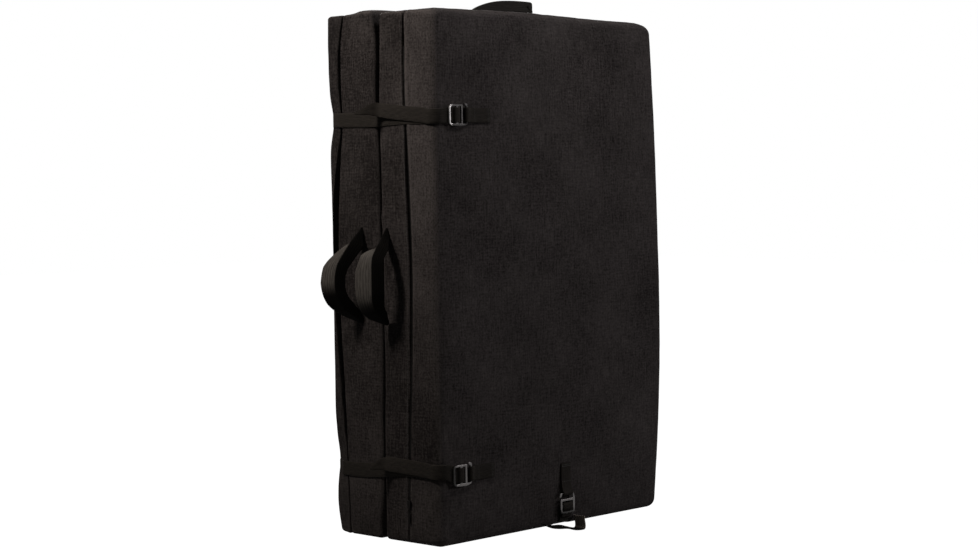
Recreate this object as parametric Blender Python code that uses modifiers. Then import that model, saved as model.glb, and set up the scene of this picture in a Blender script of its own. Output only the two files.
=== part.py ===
"""Folded bouldering crash pad, standing on its narrow edge.

Metres, +Z up. The pad folds on the upright edge at +X and opens at -X. The large bare face looks along -Y and the
carrying harness is on the +Y side. The origin is on the ground, at the middle of the whole object's outline.
"""
import math

import bmesh
import bpy
from mathutils import Matrix, Vector

# Covers and foam
HEIGHT = 0.900
WIDTH = 0.560
FRONT_DEPTH = 0.137
REAR_DEPTH = 0.102
PANEL_DEPTH = 0.021
FOLD_GAP = 0.004
PANEL_GAP = 0.0006
EDGE_RADIUS = 0.016
PANEL_EDGE_RADIUS = 0.009
COVER_WALL = 0.0012
FOAM_SIDE_INSET = 0.0052
FOAM_FACE_INSET = 0.0020
FOAM_EDGE_RADIUS = 0.015
LANDING_FOAM = 0.025
BASE_FOAM = 0.012
SEAM_FROM_FRONT = 0.076
SEAM_HALF_WIDTH = 0.0032
SEAM_DEPTH = 0.0025
FACE_CROWN = 0.003
EDGE_BOW = 0.009
TOP_CROWN = 0.003
PANEL_CROWN = 0.004
SEAT_GAP = 0.0003

# Webbing
STRAP_WIDTH = 0.025
HANDLE_WEBBING = 0.038
STRAP_THICKNESS = 0.0016
HANDLE_THICKNESS = 0.0026

# Closure straps, anchors and buckles
UPPER_STRAP_Z = 0.7225
LOWER_STRAP_Z = 0.1200
BUCKLE_FROM_CORNER = 0.028
ANCHOR_END_FROM_CORNER = 0.124
STRAP_ROOT_FROM_BACK = 0.024
STRAP_ROOT_LENGTH = 0.045
TAIL_END_FROM_FRONT = 0.151
TAIL_LIFT = 0.009
TAIL_LIFT_LENGTH = 0.030
BUCKLE_WIDTH = 0.037
BUCKLE_RAIL = 0.0042
BUCKLE_THICKNESS = 0.0030
BUCKLE_CORNER = 0.0040
END_BAR = 0.0045
LADDER_SLOT = 0.0065
MIDDLE_BAR = 0.0055
THIRD_BAR = 0.0045
HOOK_SLOT = 0.0080
HOOK_BAR = 0.0030
HOOK_PLAY = 0.0009
GATE = 0.0040
BOTTOM_STRAP_FROM_MIDDLE = 0.024
BOTTOM_BUCKLE_Z = 0.021
BOTTOM_ANCHOR_TOP_Z = 0.112
BOTTOM_STRAP_REACH = 0.050
STRAP_RECESS = 0.0034
RECESS_MARGIN = 0.0025
RECESS_SLOPE = 0.0040
LOOP_SPAN = 0.088
LOOP_FROM_STRAP = -0.016
LOOP_DROP = 0.0195
LOOP_FLOOR_GAP = 0.0008

# Grab handles
HANDLE_TOP_Z = 0.533
HANDLE_BOTTOM_Z = 0.371
FRONT_HANDLE_FROM_FRONT = 0.116
REAR_HANDLE_FROM_FRONT = 0.180
FRONT_HANDLE_BOW = 0.053
REAR_HANDLE_BOW = 0.058
REAR_HANDLE_LEAN = 0.030
TOP_HANDLE_LENGTH = 0.138
TOP_HANDLE_HEIGHT = 0.024
TOP_HANDLE_FROM_MIDDLE = -0.021
TOP_HANDLE_FROM_FRONT = 0.098
TAB_LENGTH = 0.034
TAB_THICKNESS = 0.0024
TIP_GAP = 0.0009
TIP_WIDTH = 0.002

# Zips
ZIP_LOW_Z = 0.060
ZIP_HIGH_Z = 0.840
ZIP_CLEARANCE = 0.0005
SLIDER_LENGTH = 0.014
SLIDER_WIDTH = 0.010
SLIDER_THICKNESS = 0.0030
PULL_LENGTH = 0.026
PULL_WIDTH = 0.006

# Fold hinge
HINGE_OUT = 0.0110
HINGE_STRIP_REACH = 0.022
HINGE_STRIP_OUT = 0.0022
HINGE_STRIP_THICKNESS = 0.0016
HINGE_STRIP_MARGIN = 0.022

# Carrying harness
SHOULDER_TOP_Z = 0.760
SHOULDER_BOTTOM_Z = 0.345
SHOULDER_WIDTH = 0.068
SHOULDER_END_WIDTH = 0.040
SHOULDER_THICKNESS = 0.012
SHOULDER_BOW = 0.020
SHOULDER_APART_TOP = 0.110
SHOULDER_APART_BOTTOM = 0.230
LADDER_LOCK_HEIGHT = 0.030
LADDER_LOCK_WIDTH = 0.036
LADDER_LOCK_THICKNESS = 0.0045
LOWER_WEBBING_END_Z = 0.150
BELT_Z = 0.235
BELT_WIDTH = 0.058
BELT_THICKNESS = 0.008
BELT_ROOT_FROM_EDGE = 0.055
BELT_END_FROM_MIDDLE = 0.105
BELT_BUCKLE_LENGTH = 0.042
BELT_BUCKLE_WIDTH = 0.040
BELT_BUCKLE_THICKNESS = 0.009
BELT_PRONG_LENGTH = 0.016

# Places worked out from the sizes above
FOLDED_DEPTH = FRONT_DEPTH + FOLD_GAP + REAR_DEPTH + PANEL_GAP + PANEL_DEPTH
LAYER = STRAP_THICKNESS + SEAT_GAP
HANDLE_FOOT = SEAT_GAP + TAB_THICKNESS + TIP_GAP
SHOULDER_MIDDLE_Z = (SHOULDER_TOP_Z + SHOULDER_BOTTOM_Z) / 2
SHOULDER_MIDDLE_X = (SHOULDER_APART_TOP + SHOULDER_APART_BOTTOM) / 4
OPEN_SIDE_REACH = HANDLE_FOOT + REAR_HANDLE_BOW + HANDLE_THICKNESS / 2
HINGE_SIDE_REACH = EDGE_BOW * (1 - EDGE_RADIUS / FRONT_DEPTH)
FRONT_REACH = SEAT_GAP + STRAP_WIDTH


def dome(u, w):
    """Height of a crown, 1 in the middle of a face and 0 at its edges, for places from -1 to 1."""
    return (1 - min(u * u, 1)) * (1 - min(w * w, 1))


def upright_share(z):
    return 2 * z / HEIGHT - 1


def panel_crown(x_from_middle, z):
    return PANEL_CROWN * dome(2 * x_from_middle / WIDTH, upright_share(z))


REAR_REACH = (panel_crown(SHOULDER_MIDDLE_X, SHOULDER_MIDDLE_Z) + SEAT_GAP + SHOULDER_THICKNESS + SHOULDER_BOW)
MIDDLE_X = (OPEN_SIDE_REACH - HINGE_SIDE_REACH) / 2
OPEN_X = MIDDLE_X - WIDTH / 2
HINGE_X = MIDDLE_X + WIDTH / 2
FRONT_Y = (FRONT_REACH - REAR_REACH - FOLDED_DEPTH) / 2
FRONT_INNER_Y = FRONT_Y + FRONT_DEPTH
REAR_INNER_Y = FRONT_INNER_Y + FOLD_GAP
REAR_OUTER_Y = REAR_INNER_Y + REAR_DEPTH
PANEL_INNER_Y = REAR_OUTER_Y + PANEL_GAP
BACK_Y = PANEL_INNER_Y + PANEL_DEPTH
SEAM_Y = FRONT_Y + SEAM_FROM_FRONT
REAR_ZIP_Y = (REAR_INNER_Y + REAR_OUTER_Y) / 2
BOTTOM_STRAP_X = MIDDLE_X + BOTTOM_STRAP_FROM_MIDDLE
RECESS_HALF = STRAP_WIDTH / 2 + RECESS_MARGIN
OUT_FRONT = Vector((0, -1, 0))
UP = Vector((0, 0, 1))
ALONG_X = Vector((1, 0, 0))
ALONG_Y = Vector((0, 1, 0))

# Colour, roughness and metallic value of each finish
FINISHES = {
    "cover": ((0.020, 0.019, 0.019), 0.85, 0.0),
    "panel": ((0.018, 0.018, 0.019), 0.85, 0.0),
    "webbing": ((0.014, 0.013, 0.012), 0.70, 0.0),
    "stiff_foam": ((0.10, 0.10, 0.11), 0.90, 0.0),
    "soft_foam": ((0.55, 0.52, 0.40), 0.95, 0.0),
    "zip": ((0.010, 0.010, 0.010), 0.60, 0.0),
    "metal": ((0.30, 0.30, 0.31), 0.32, 1.0),
    "painted_metal": ((0.015, 0.015, 0.015), 0.45, 0.0),
    "plastic": ((0.012, 0.012, 0.013), 0.45, 0.0),
}


def clear_objects():
    for thing in list(bpy.data.objects):
        bpy.data.objects.remove(thing, do_unlink=True)


clear_objects()
PAD = bpy.data.collections.new("bouldering_crash_pad")
bpy.context.scene.collection.children.link(PAD)


def give_finish(thing, finish):
    color, roughness, metallic = FINISHES[finish]
    material = bpy.data.materials.new(thing.name)
    material.use_nodes = True
    shader = material.node_tree.nodes["Principled BSDF"]
    shader.inputs["Base Color"].default_value = (*color, 1)
    shader.inputs["Roughness"].default_value = roughness
    shader.inputs["Metallic"].default_value = metallic
    thing.data.materials.append(material)


def add_mesh(name, shape, finish, smooth=True):
    """Puts a bmesh into the pad's collection as a named object."""
    bmesh.ops.recalc_face_normals(shape, faces=shape.faces)
    mesh = bpy.data.meshes.new(name)
    shape.to_mesh(mesh)
    shape.free()
    if smooth:
        mesh.shade_smooth()
        mesh.set_sharp_from_angle(angle=math.radians(40))
    thing = bpy.data.objects.new(name, mesh)
    PAD.objects.link(thing)
    give_finish(thing, finish)
    return thing


def move_origin(thing, place):
    """Puts an object's origin on its joint's axis and leaves its shape where it is."""
    thing.data.transform(Matrix.Translation(-Vector(place)))
    thing.location = Vector(place)


def solidify(thing, thickness, offset):
    wall = thing.modifiers.new("Wall", "SOLIDIFY")
    wall.thickness = thickness
    wall.offset = offset
    wall.use_even_offset = True
    return wall


# Boxes, ribbons and cushions


def box_shape(low, high):
    shape = bmesh.new()
    bmesh.ops.create_cube(shape, size=1)
    size = Vector(high) - Vector(low)
    for vertex in shape.verts:
        vertex.co = Vector(low) + Vector([(vertex.co[i] + 0.5) * size[i] for i in range(3)])
    return shape


def ribbon(name, path, across, widths, thickness, finish):
    """A flat band along a path, with its own width at each point."""
    shape = bmesh.new()
    sides = []
    for point, width in zip(path, widths):
        half = Vector(across) * width / 2
        sides.append((shape.verts.new(point - half), shape.verts.new(point + half)))
    for (a, b), (c, d) in zip(sides, sides[1:]):
        shape.faces.new((a, b, d, c))
    thing = add_mesh(name, shape, finish)
    solidify(thing, thickness, 0)
    return thing


def push_face(shape, face, move):
    """Draws a face of a shape out, or in, by a move."""
    pushed = bmesh.ops.extrude_face_region(shape, geom=[face])
    moved = [item for item in pushed["geom"] if isinstance(item, bmesh.types.BMVert)]
    bmesh.ops.delete(shape, geom=[face], context="FACES")
    for vertex in moved:
        vertex.co += Vector(move)


def arc(middle, radius, start, end, steps, first, second):
    """Points of an arc about a middle. The angles are in degrees, from the first direction towards the second."""
    points = []
    for step in range(steps + 1):
        angle = math.radians(start + (end - start) * step / steps)
        points.append(middle + first * radius * math.cos(angle) + second * radius * math.sin(angle))
    return points


def cut_lines(shape, axis, places):
    normal = Vector([1 if i == axis else 0 for i in range(3)])
    for place in places:
        whole = shape.verts[:] + shape.edges[:] + shape.faces[:]
        bmesh.ops.bisect_plane(shape, geom=whole, plane_co=normal * place, plane_no=normal)


def edge_lines(low, high, radius, between):
    """Cuts for rounded edges at both ends of a span, and the given cuts between them."""
    half_turn = radius * (1 - math.tan(math.radians(22.5)))
    return [low + half_turn, low + radius, *between, high - radius, high - half_turn]


def cushion_shape(low, high, radius, between, swell):
    """A box with rounded edges, cut into a grid, whose points are then moved by swell(point, outward)."""
    shape = box_shape(low, high)
    for axis in range(3):
        cut_lines(shape, axis, edge_lines(low[axis], high[axis], radius, between[axis]))
    for vertex in shape.verts:
        core = Vector([min(max(vertex.co[i], low[i] + radius), high[i] - radius) for i in range(3)])
        outward = (vertex.co - core).normalized()
        vertex.co = swell(core + outward * radius, outward)
    return shape


# How the cloth stands proud or is drawn in


def recess_share(x, widening):
    """1 under the bottom strap, 0 beside it and a slope between them."""
    beyond = abs(x - BOTTOM_STRAP_X) - RECESS_HALF - widening
    return min(max(1 - beyond / RECESS_SLOPE, 0), 1)


def recess_move(point, outward, deeper):
    """The bottom strap draws the cloth up under the pad and round its bottom edges."""
    share = recess_share(point.x, deeper) * max(-outward.z, 0)
    return -outward * (STRAP_RECESS + deeper) * share


def front_bow(x, z, depth_share):
    """How far the foam pushes the hinge side's front edge out, both ways."""
    x_share = min(max((x - OPEN_X) / WIDTH, 0), 1)
    return EDGE_BOW * (1 - upright_share(z) ** 2) * x_share * depth_share


def front_crown(x, z):
    """How far the front face stands ahead of FRONT_Y."""
    return front_bow(x, z, 1) + FACE_CROWN * dome(2 * (x - MIDDLE_X) / WIDTH, upright_share(z))


def top_crown(x, depth_share):
    return TOP_CROWN * dome(2 * (x - MIDDLE_X) / WIDTH, 2 * depth_share - 1)


def front_swell(deeper=0.0, seam_depth=SEAM_DEPTH):
    def swell(point, outward):
        moved = point + recess_move(point, outward, deeper)
        if abs(point.y - SEAM_Y) < SEAM_HALF_WIDTH / 4 and outward.z > -0.1:
            moved -= outward * seam_depth
        share = min(max((FRONT_INNER_Y - point.y) / FRONT_DEPTH, 0), 1)
        x_share = min(max((point.x - OPEN_X) / WIDTH, 0), 1)
        moved.x += front_bow(point.x, point.z, share) * x_share
        moved.y -= front_crown(point.x, point.z) * share
        moved.z += top_crown(point.x, share) * (point.z / HEIGHT) ** 2
        return moved

    return swell


def rear_swell(deeper=0.0):
    def swell(point, outward):
        moved = point + recess_move(point, outward, deeper)
        share = min(max((point.y - REAR_INNER_Y) / REAR_DEPTH, 0), 1)
        moved.z += top_crown(point.x, share) * (point.z / HEIGHT) ** 2
        return moved

    return swell


def panel_swell(point, outward):
    share = (point.y - PANEL_INNER_Y) / PANEL_DEPTH
    return point + ALONG_Y * panel_crown(point.x - MIDDLE_X, point.z) * share


def across_lines(widening=0.0):
    """Cuts across the width, closer beside the bottom strap."""
    near = RECESS_HALF + widening
    strap = [BOTTOM_STRAP_X + side for side in (-near - RECESS_SLOPE, -near, near, near + RECESS_SLOPE)]
    return [OPEN_X + WIDTH * 0.28, *strap, OPEN_X + WIDTH * 0.80]


UPRIGHT_LINES = [ZIP_LOW_Z, 0.2 * HEIGHT, 0.35 * HEIGHT, 0.5 * HEIGHT, 0.65 * HEIGHT, 0.8 * HEIGHT, ZIP_HIGH_Z]


# Covers and foam


def open_slit(shape, wall_x, middle_y):
    """Takes away the strip of an upright wall where the zip is."""
    strip = []
    for face in shape.faces:
        middle = face.calc_center_median()
        beside = abs(middle.y - middle_y) < SEAM_HALF_WIDTH and ZIP_LOW_Z < middle.z < ZIP_HIGH_Z
        if beside and abs(middle.x - wall_x) < EDGE_RADIUS:
            strip.append(face)
    bmesh.ops.delete(shape, geom=strip, context="FACES")


def make_front_cover():
    depth_lines = [SEAM_Y - SEAM_HALF_WIDTH, SEAM_Y, SEAM_Y + SEAM_HALF_WIDTH]
    shape = cushion_shape(
        (OPEN_X, FRONT_Y, 0), (HINGE_X, FRONT_INNER_Y, HEIGHT), EDGE_RADIUS,
        (across_lines(), depth_lines, UPRIGHT_LINES), front_swell())
    open_slit(shape, OPEN_X, SEAM_Y)
    solidify(add_mesh("front_cover", shape, "cover"), COVER_WALL, -1)


def make_rear_cover():
    depth_lines = [REAR_ZIP_Y - SEAM_HALF_WIDTH, REAR_ZIP_Y + SEAM_HALF_WIDTH]
    shape = cushion_shape(
        (OPEN_X, REAR_INNER_Y, 0), (HINGE_X, REAR_OUTER_Y, HEIGHT), EDGE_RADIUS,
        (across_lines(), depth_lines, UPRIGHT_LINES), rear_swell())
    open_slit(shape, HINGE_X, REAR_ZIP_Y)
    solidify(add_mesh("rear_cover", shape, "cover"), COVER_WALL, -1)


def make_foam(names, low_y, high_y, cuts, swell):
    """A block that fits its cover, sliced into layers by upright cuts. The names run from -Y to +Y."""
    low = (OPEN_X + FOAM_SIDE_INSET, low_y + FOAM_FACE_INSET, COVER_WALL + SEAT_GAP)
    high = (HINGE_X - FOAM_SIDE_INSET, high_y - FOAM_FACE_INSET, HEIGHT - FOAM_SIDE_INSET)
    edges = [low[1] - 1, *cuts, high[1] + 1]
    for name, near, far in zip(names, edges, edges[1:]):
        upright = [0.3 * HEIGHT, 0.5 * HEIGHT, 0.7 * HEIGHT]
        shape = cushion_shape(low, high, FOAM_EDGE_RADIUS, (across_lines(SEAT_GAP * 2), [], upright), swell)
        for place, keep in ((near + SEAT_GAP / 2, -1), (far - SEAT_GAP / 2, 1)):
            whole = shape.verts[:] + shape.edges[:] + shape.faces[:]
            cut = bmesh.ops.bisect_plane(
                shape, geom=whole, plane_co=(0, place, 0), plane_no=(0, keep, 0), clear_outer=True)
            rim = [edge for edge in cut["geom_cut"] if isinstance(edge, bmesh.types.BMEdge)]
            if rim:
                bmesh.ops.holes_fill(shape, edges=rim)
        add_mesh(name, shape, "soft_foam" if "core" in name else "stiff_foam")


def make_foams():
    front_cuts = (FRONT_Y + FOAM_FACE_INSET + BASE_FOAM, FRONT_INNER_Y - FOAM_FACE_INSET - LANDING_FOAM)
    rear_cuts = (REAR_INNER_Y + FOAM_FACE_INSET + LANDING_FOAM, REAR_OUTER_Y - FOAM_FACE_INSET - BASE_FOAM)
    make_foam(("front_base_foam", "front_core_foam", "front_landing_foam"), FRONT_Y, FRONT_INNER_Y, front_cuts,
              front_swell(SEAT_GAP * 2, 0))
    make_foam(("rear_landing_foam", "rear_core_foam", "rear_base_foam"), REAR_INNER_Y, REAR_OUTER_Y, rear_cuts,
              rear_swell(SEAT_GAP * 2))


def make_harness_panel():
    shape = cushion_shape(
        (OPEN_X, PANEL_INNER_Y, 0), (HINGE_X, BACK_Y, HEIGHT), PANEL_EDGE_RADIUS,
        ([OPEN_X + WIDTH * share for share in (0.2, 0.35, 0.5, 0.65, 0.8)], [], UPRIGHT_LINES[1:-1]), panel_swell)
    add_mesh("harness_panel", shape, "panel")


# Zips


def make_zip(name, wall_x, middle_y, outward):
    """The closed tape and teeth that fill the slit, flush with the wall."""
    inner = wall_x - outward * COVER_WALL
    half = SEAM_HALF_WIDTH - ZIP_CLEARANCE
    low = (min(wall_x, inner), middle_y - half, ZIP_LOW_Z + ZIP_CLEARANCE)
    high = (max(wall_x, inner), middle_y + half, ZIP_HIGH_Z - ZIP_CLEARANCE)
    add_mesh(name, box_shape(low, high), "zip", smooth=False)


def make_slider(name, wall_x, middle_y, outward):
    """A slider with a flat pull that hangs from it, at the low end of its zip."""
    low_z = ZIP_LOW_Z + ZIP_CLEARANCE
    near = wall_x + outward * SEAT_GAP
    far = near + outward * SLIDER_THICKNESS
    shape = box_shape(
        (min(near, far), middle_y - SLIDER_WIDTH / 2, low_z),
        (max(near, far), middle_y + SLIDER_WIDTH / 2, low_z + SLIDER_LENGTH))
    cut_lines(shape, 1, (middle_y - PULL_WIDTH / 2, middle_y + PULL_WIDTH / 2))
    under = [face for face in shape.faces if face.calc_center_median().z < low_z + SEAT_GAP]
    pull = min(under, key=lambda face: abs(face.calc_center_median().y - middle_y))
    push_face(shape, pull, (0, 0, -PULL_LENGTH))
    move_origin(add_mesh(name, shape, "painted_metal", smooth=False), (near, middle_y, low_z))


def make_zips():
    make_zip("front_zip", OPEN_X, SEAM_Y, -1)
    make_slider("front_zip_slider", OPEN_X, SEAM_Y, -1)
    make_zip("rear_zip", HINGE_X, REAR_ZIP_Y, 1)
    make_slider("rear_zip_slider", HINGE_X, REAR_ZIP_Y, 1)


# Buckles. Places on a buckle are counted along the strap from the outer edge of its end bar.

SLOT_1_END = END_BAR + LADDER_SLOT
SLOT_2_START = SLOT_1_END + MIDDLE_BAR
SLOT_2_END = SLOT_2_START + LADDER_SLOT
HOOK_SLOT_START = SLOT_2_END + THIRD_BAR
HOOK_START = HOOK_SLOT_START + HOOK_SLOT
BUCKLE_LENGTH = HOOK_START + HOOK_BAR
HOOK_PLACE = HOOK_START + HOOK_BAR / 2
PLATE_OUT = SEAT_GAP + 2 * LAYER + BUCKLE_THICKNESS / 2


class StrapFrame:
    """Places along a strap, outwards from the cloth and across the webbing, for one buckle."""

    def __init__(self, start, along, out):
        self.start = Vector(start)
        self.along = Vector(along)
        self.out = Vector(out)
        self.across = -self.along.cross(self.out)

    def at(self, along, out):
        return self.start + self.along * along + self.out * out

    def hook(self):
        return self.at(HOOK_PLACE, PLATE_OUT)


def nearer_edge(z):
    """The height of a level strap's edge on the side of the pad's middle, where a crown stands prouder."""
    return z - math.copysign(STRAP_WIDTH / 2, z - HEIGHT / 2)


def flat_frame(z):
    """A strap that runs level across the front face, from the near corner."""
    start_x = OPEN_X + BUCKLE_FROM_CORNER
    proud = front_crown(OPEN_X + ANCHOR_END_FROM_CORNER, nearer_edge(z))
    return StrapFrame((start_x, FRONT_Y - proud, z), ALONG_X, OUT_FRONT)


def bottom_frame():
    proud = front_crown(BOTTOM_STRAP_X, BOTTOM_ANCHOR_TOP_Z)
    return StrapFrame((BOTTOM_STRAP_X, FRONT_Y - proud, BOTTOM_BUCKLE_Z), UP, OUT_FRONT)


FRAMES = {"upper": flat_frame(UPPER_STRAP_Z), "lower": flat_frame(LOWER_STRAP_Z), "bottom": bottom_frame()}
ANCHOR_LENGTHS = {
    "upper": ANCHOR_END_FROM_CORNER - BUCKLE_FROM_CORNER,
    "lower": ANCHOR_END_FROM_CORNER - BUCKLE_FROM_CORNER,
    "bottom": BOTTOM_ANCHOR_TOP_Z - BOTTOM_BUCKLE_Z,
}


def rounded_outline(corners, radius):
    """An outline whose corners marked True are cut by two points, as a rounded corner."""
    points = []
    for number, (x, y, rounded) in enumerate(corners):
        here = Vector((x, y))
        if not rounded:
            points.append(here)
            continue
        before = Vector(corners[number - 1][:2])
        after = Vector(corners[(number + 1) % len(corners)][:2])
        enter = here + (before - here).normalized() * radius
        leave = here + (after - here).normalized() * radius
        middle = enter + leave - here
        points += [enter, middle + (here - middle).normalized() * radius, leave]
    return points


def plate(name, outlines, thickness, finish):
    """A flat outline with holes, as a filled 2D curve."""
    curve = bpy.data.curves.new(name, "CURVE")
    curve.dimensions = "2D"
    curve.fill_mode = "BOTH"
    curve.extrude = thickness / 2
    for number, outline in enumerate(outlines):
        spline = curve.splines.new("POLY")
        spline.points.add(len(outline) - 1)
        for point, place in zip(spline.points, outline if number == 0 else reversed(outline)):
            point.co = (place[0], place[1], 0, 1)
        spline.use_cyclic_u = True
    thing = bpy.data.objects.new(name, curve)
    PAD.objects.link(thing)
    give_finish(thing, finish)
    return thing


def make_buckle(name, frame):
    """An open hook with two ladder slots. The hook slot opens at the gate, on the across side."""
    half = BUCKLE_WIDTH / 2
    inner = half - BUCKLE_RAIL
    outer = rounded_outline([
        (0, -half, True), (BUCKLE_LENGTH, -half, True), (BUCKLE_LENGTH, half, True),
        (HOOK_SLOT_START + GATE, half, False), (HOOK_SLOT_START + GATE, inner, False), (HOOK_START, inner, False),
        (HOOK_START, -inner, False), (HOOK_SLOT_START, -inner, False), (HOOK_SLOT_START, half, False),
        (0, half, True)], BUCKLE_CORNER * HOOK_BAR / BUCKLE_RAIL)
    slots = []
    for near, far in ((END_BAR, SLOT_1_END), (SLOT_2_START, SLOT_2_END)):
        slots.append([(near, -inner), (far, -inner), (far, inner), (near, inner)])
    shifted = [[(x - HOOK_PLACE, y) for x, y in outline] for outline in (outer, *slots)]
    thing = plate(name, shifted, BUCKLE_THICKNESS, "metal")
    turn = Matrix((frame.along, frame.across, frame.along.cross(frame.across))).transposed()
    thing.matrix_world = Matrix.Translation(frame.hook()) @ turn.to_4x4()


def make_anchor(name, frame, length):
    """Webbing sewn to the front face, doubled round the hook bar."""
    radius = HOOK_BAR / 2 + HOOK_PLAY + STRAP_THICKNESS / 2
    base = SEAT_GAP + STRAP_THICKNESS / 2
    slope = 2 * LADDER_SLOT
    hook = frame.hook()
    path = [frame.at(length, base), frame.at(HOOK_PLACE + slope, base)]
    path += arc(hook, radius, -90, -270, 6, frame.along, frame.out)
    path += [frame.at(HOOK_PLACE + 2 * slope, base + LAYER), frame.at(length, base + LAYER)]
    ribbon(name, path, frame.across, [STRAP_WIDTH] * len(path), STRAP_THICKNESS, "webbing")


def ladder_wrap(frame, under_out, over_out):
    """The webbing's way up through the inner slot, over the middle bar and down through the outer slot."""
    inner_slot = (SLOT_2_START + SLOT_2_END) / 2
    outer_slot = (END_BAR + SLOT_1_END) / 2
    crest = PLATE_OUT + BUCKLE_THICKNESS / 2 + SEAT_GAP + STRAP_THICKNESS / 2
    chamfer = STRAP_THICKNESS
    return [
        frame.at(inner_slot - chamfer, under_out), frame.at(inner_slot, under_out + chamfer),
        frame.at(inner_slot, crest - chamfer), frame.at(inner_slot - chamfer, crest),
        frame.at(outer_slot + chamfer, crest), frame.at(outer_slot, crest - chamfer),
        frame.at(outer_slot, over_out + chamfer / 2), frame.at(outer_slot - chamfer, over_out)]


def make_buckles_and_anchors():
    for place, frame in FRAMES.items():
        make_buckle(place + "_buckle", frame)
        make_anchor(place + "_anchor", frame, ANCHOR_LENGTHS[place])


# Closure straps


def round_corner(corner, out, start, end):
    """A strap's way round the near upright edge, prouder towards the crowned front face."""
    proud = front_crown(corner.x, nearer_edge(corner.z)) + SEAT_GAP
    points = arc(corner, EDGE_RADIUS + out, start, end, 4, -ALONG_X, OUT_FRONT)
    return [point + OUT_FRONT * proud * (corner - point).y / (EDGE_RADIUS + out) for point in points]


def make_closure_strap(name, frame):
    """From the rear corner along the open side, round the near corner, through the buckle and back as a tail."""
    under = SEAT_GAP + STRAP_THICKNESS / 2
    over = under + LAYER
    z = frame.start.z
    corner = Vector((OPEN_X + EDGE_RADIUS, FRONT_Y + EDGE_RADIUS, z))
    root = Vector((OPEN_X - under, BACK_Y - STRAP_ROOT_FROM_BACK, z))
    path = [root]
    path += round_corner(corner, under, 0, 90)
    path += ladder_wrap(frame, under, over)
    path.append(frame.at(0, over))
    path += round_corner(corner, over, 90, 0)
    tail_end_y = FRONT_Y + TAIL_END_FROM_FRONT
    path.append(Vector((OPEN_X - over, tail_end_y - TAIL_LIFT_LENGTH, z)))
    path.append(Vector((OPEN_X - over - TAIL_LIFT / 3, tail_end_y - TAIL_LIFT_LENGTH / 2, z)))
    path.append(Vector((OPEN_X - over - TAIL_LIFT, tail_end_y, z)))
    strap = ribbon(name, path, UP, [STRAP_WIDTH] * len(path), STRAP_THICKNESS, "webbing")
    move_origin(strap, root)


def make_strap_roots():
    """Where the closure straps are sewn on, round the rear corner of the harness panel."""
    corner_radius = PANEL_EDGE_RADIUS + SEAT_GAP + STRAP_THICKNESS / 2
    for place in ("upper", "lower"):
        z = FRAMES[place].start.z
        corner = Vector((OPEN_X + PANEL_EDGE_RADIUS, BACK_Y - PANEL_EDGE_RADIUS, z))
        path = [Vector((corner.x - corner_radius, BACK_Y - STRAP_ROOT_FROM_BACK + 2 * SEAT_GAP, z))]
        path += arc(corner, corner_radius, 0, 90, 4, -ALONG_X, ALONG_Y)
        end_x = OPEN_X + STRAP_ROOT_LENGTH
        proud = panel_crown(end_x - MIDDLE_X, nearer_edge(z))
        path.append(Vector((end_x, BACK_Y + proud + SEAT_GAP + STRAP_THICKNESS / 2, z)))
        ribbon(place + "_strap_root", path, UP, [STRAP_WIDTH] * len(path), STRAP_THICKNESS, "webbing")


def make_bottom_strap():
    """From its seam under the rear half, in the drawn-up channel, to the bottom buckle, and sewn back on itself."""
    frame = FRAMES["bottom"]
    under = SEAT_GAP + STRAP_THICKNESS / 2
    low_z = STRAP_RECESS - under
    corner = Vector((BOTTOM_STRAP_X, FRONT_Y + EDGE_RADIUS, EDGE_RADIUS))
    proud = front_crown(BOTTOM_STRAP_X, EDGE_RADIUS) + SEAT_GAP
    path = [Vector((BOTTOM_STRAP_X, REAR_INNER_Y + BOTTOM_STRAP_REACH, low_z))]
    path.append(Vector((BOTTOM_STRAP_X, FRONT_INNER_Y - EDGE_RADIUS, low_z)))
    steps = 6
    for step in range(steps + 1):
        angle = math.radians(90 * step / steps)
        radius = EDGE_RADIUS + under - STRAP_RECESS * math.cos(angle)
        outward = -UP * math.cos(angle) + OUT_FRONT * math.sin(angle)
        path.append(corner + outward * radius + OUT_FRONT * proud * math.sin(angle))
    path += ladder_wrap(frame, under, under + LAYER)
    path.append(frame.at(-END_BAR, under + LAYER))
    ribbon("bottom_closure_strap", path, ALONG_X, [STRAP_WIDTH] * len(path), STRAP_THICKNESS, "webbing")


# Grab handles


def grab_loop(name, foot_1, foot_2, out, height, width, lean=0.0):
    """A webbing arch between two feet, gathered to a point at each foot so that it can swing.

    Lean carries its crest along Y."""
    middle = (foot_1 + foot_2) / 2
    half = (foot_1 - foot_2) / 2
    across = half.normalized().cross(out)
    rise = out * height + ALONG_Y * lean
    path, widths = [], []
    steps = 14
    for step in range(steps + 1):
        angle = math.pi * step / steps
        path.append(middle + half * math.cos(angle) + rise * math.sin(angle))
        spread = min(math.sin(angle) / math.sin(math.radians(40)), 1)
        widths.append(TIP_WIDTH + (width - TIP_WIDTH) * spread)
    thing = ribbon(name, path, across, widths, HANDLE_THICKNESS, "webbing")
    move_origin(thing, middle)


def make_tabs(names, places, out, along, across):
    """Sewn patches under the feet of a handle."""
    for name, place in zip(names, places):
        near = place + out * SEAT_GAP
        far = near + out * TAB_THICKNESS
        corners = [
            point + along * TAB_LENGTH / 2 * a + across * HANDLE_WEBBING / 2 * b
            for point in (near, far) for a in (-1, 1) for b in (-1, 1)]
        low = [min(corner[i] for corner in corners) for i in range(3)]
        high = [max(corner[i] for corner in corners) for i in range(3)]
        add_mesh(name, box_shape(low, high), "webbing", smooth=False)


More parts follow.
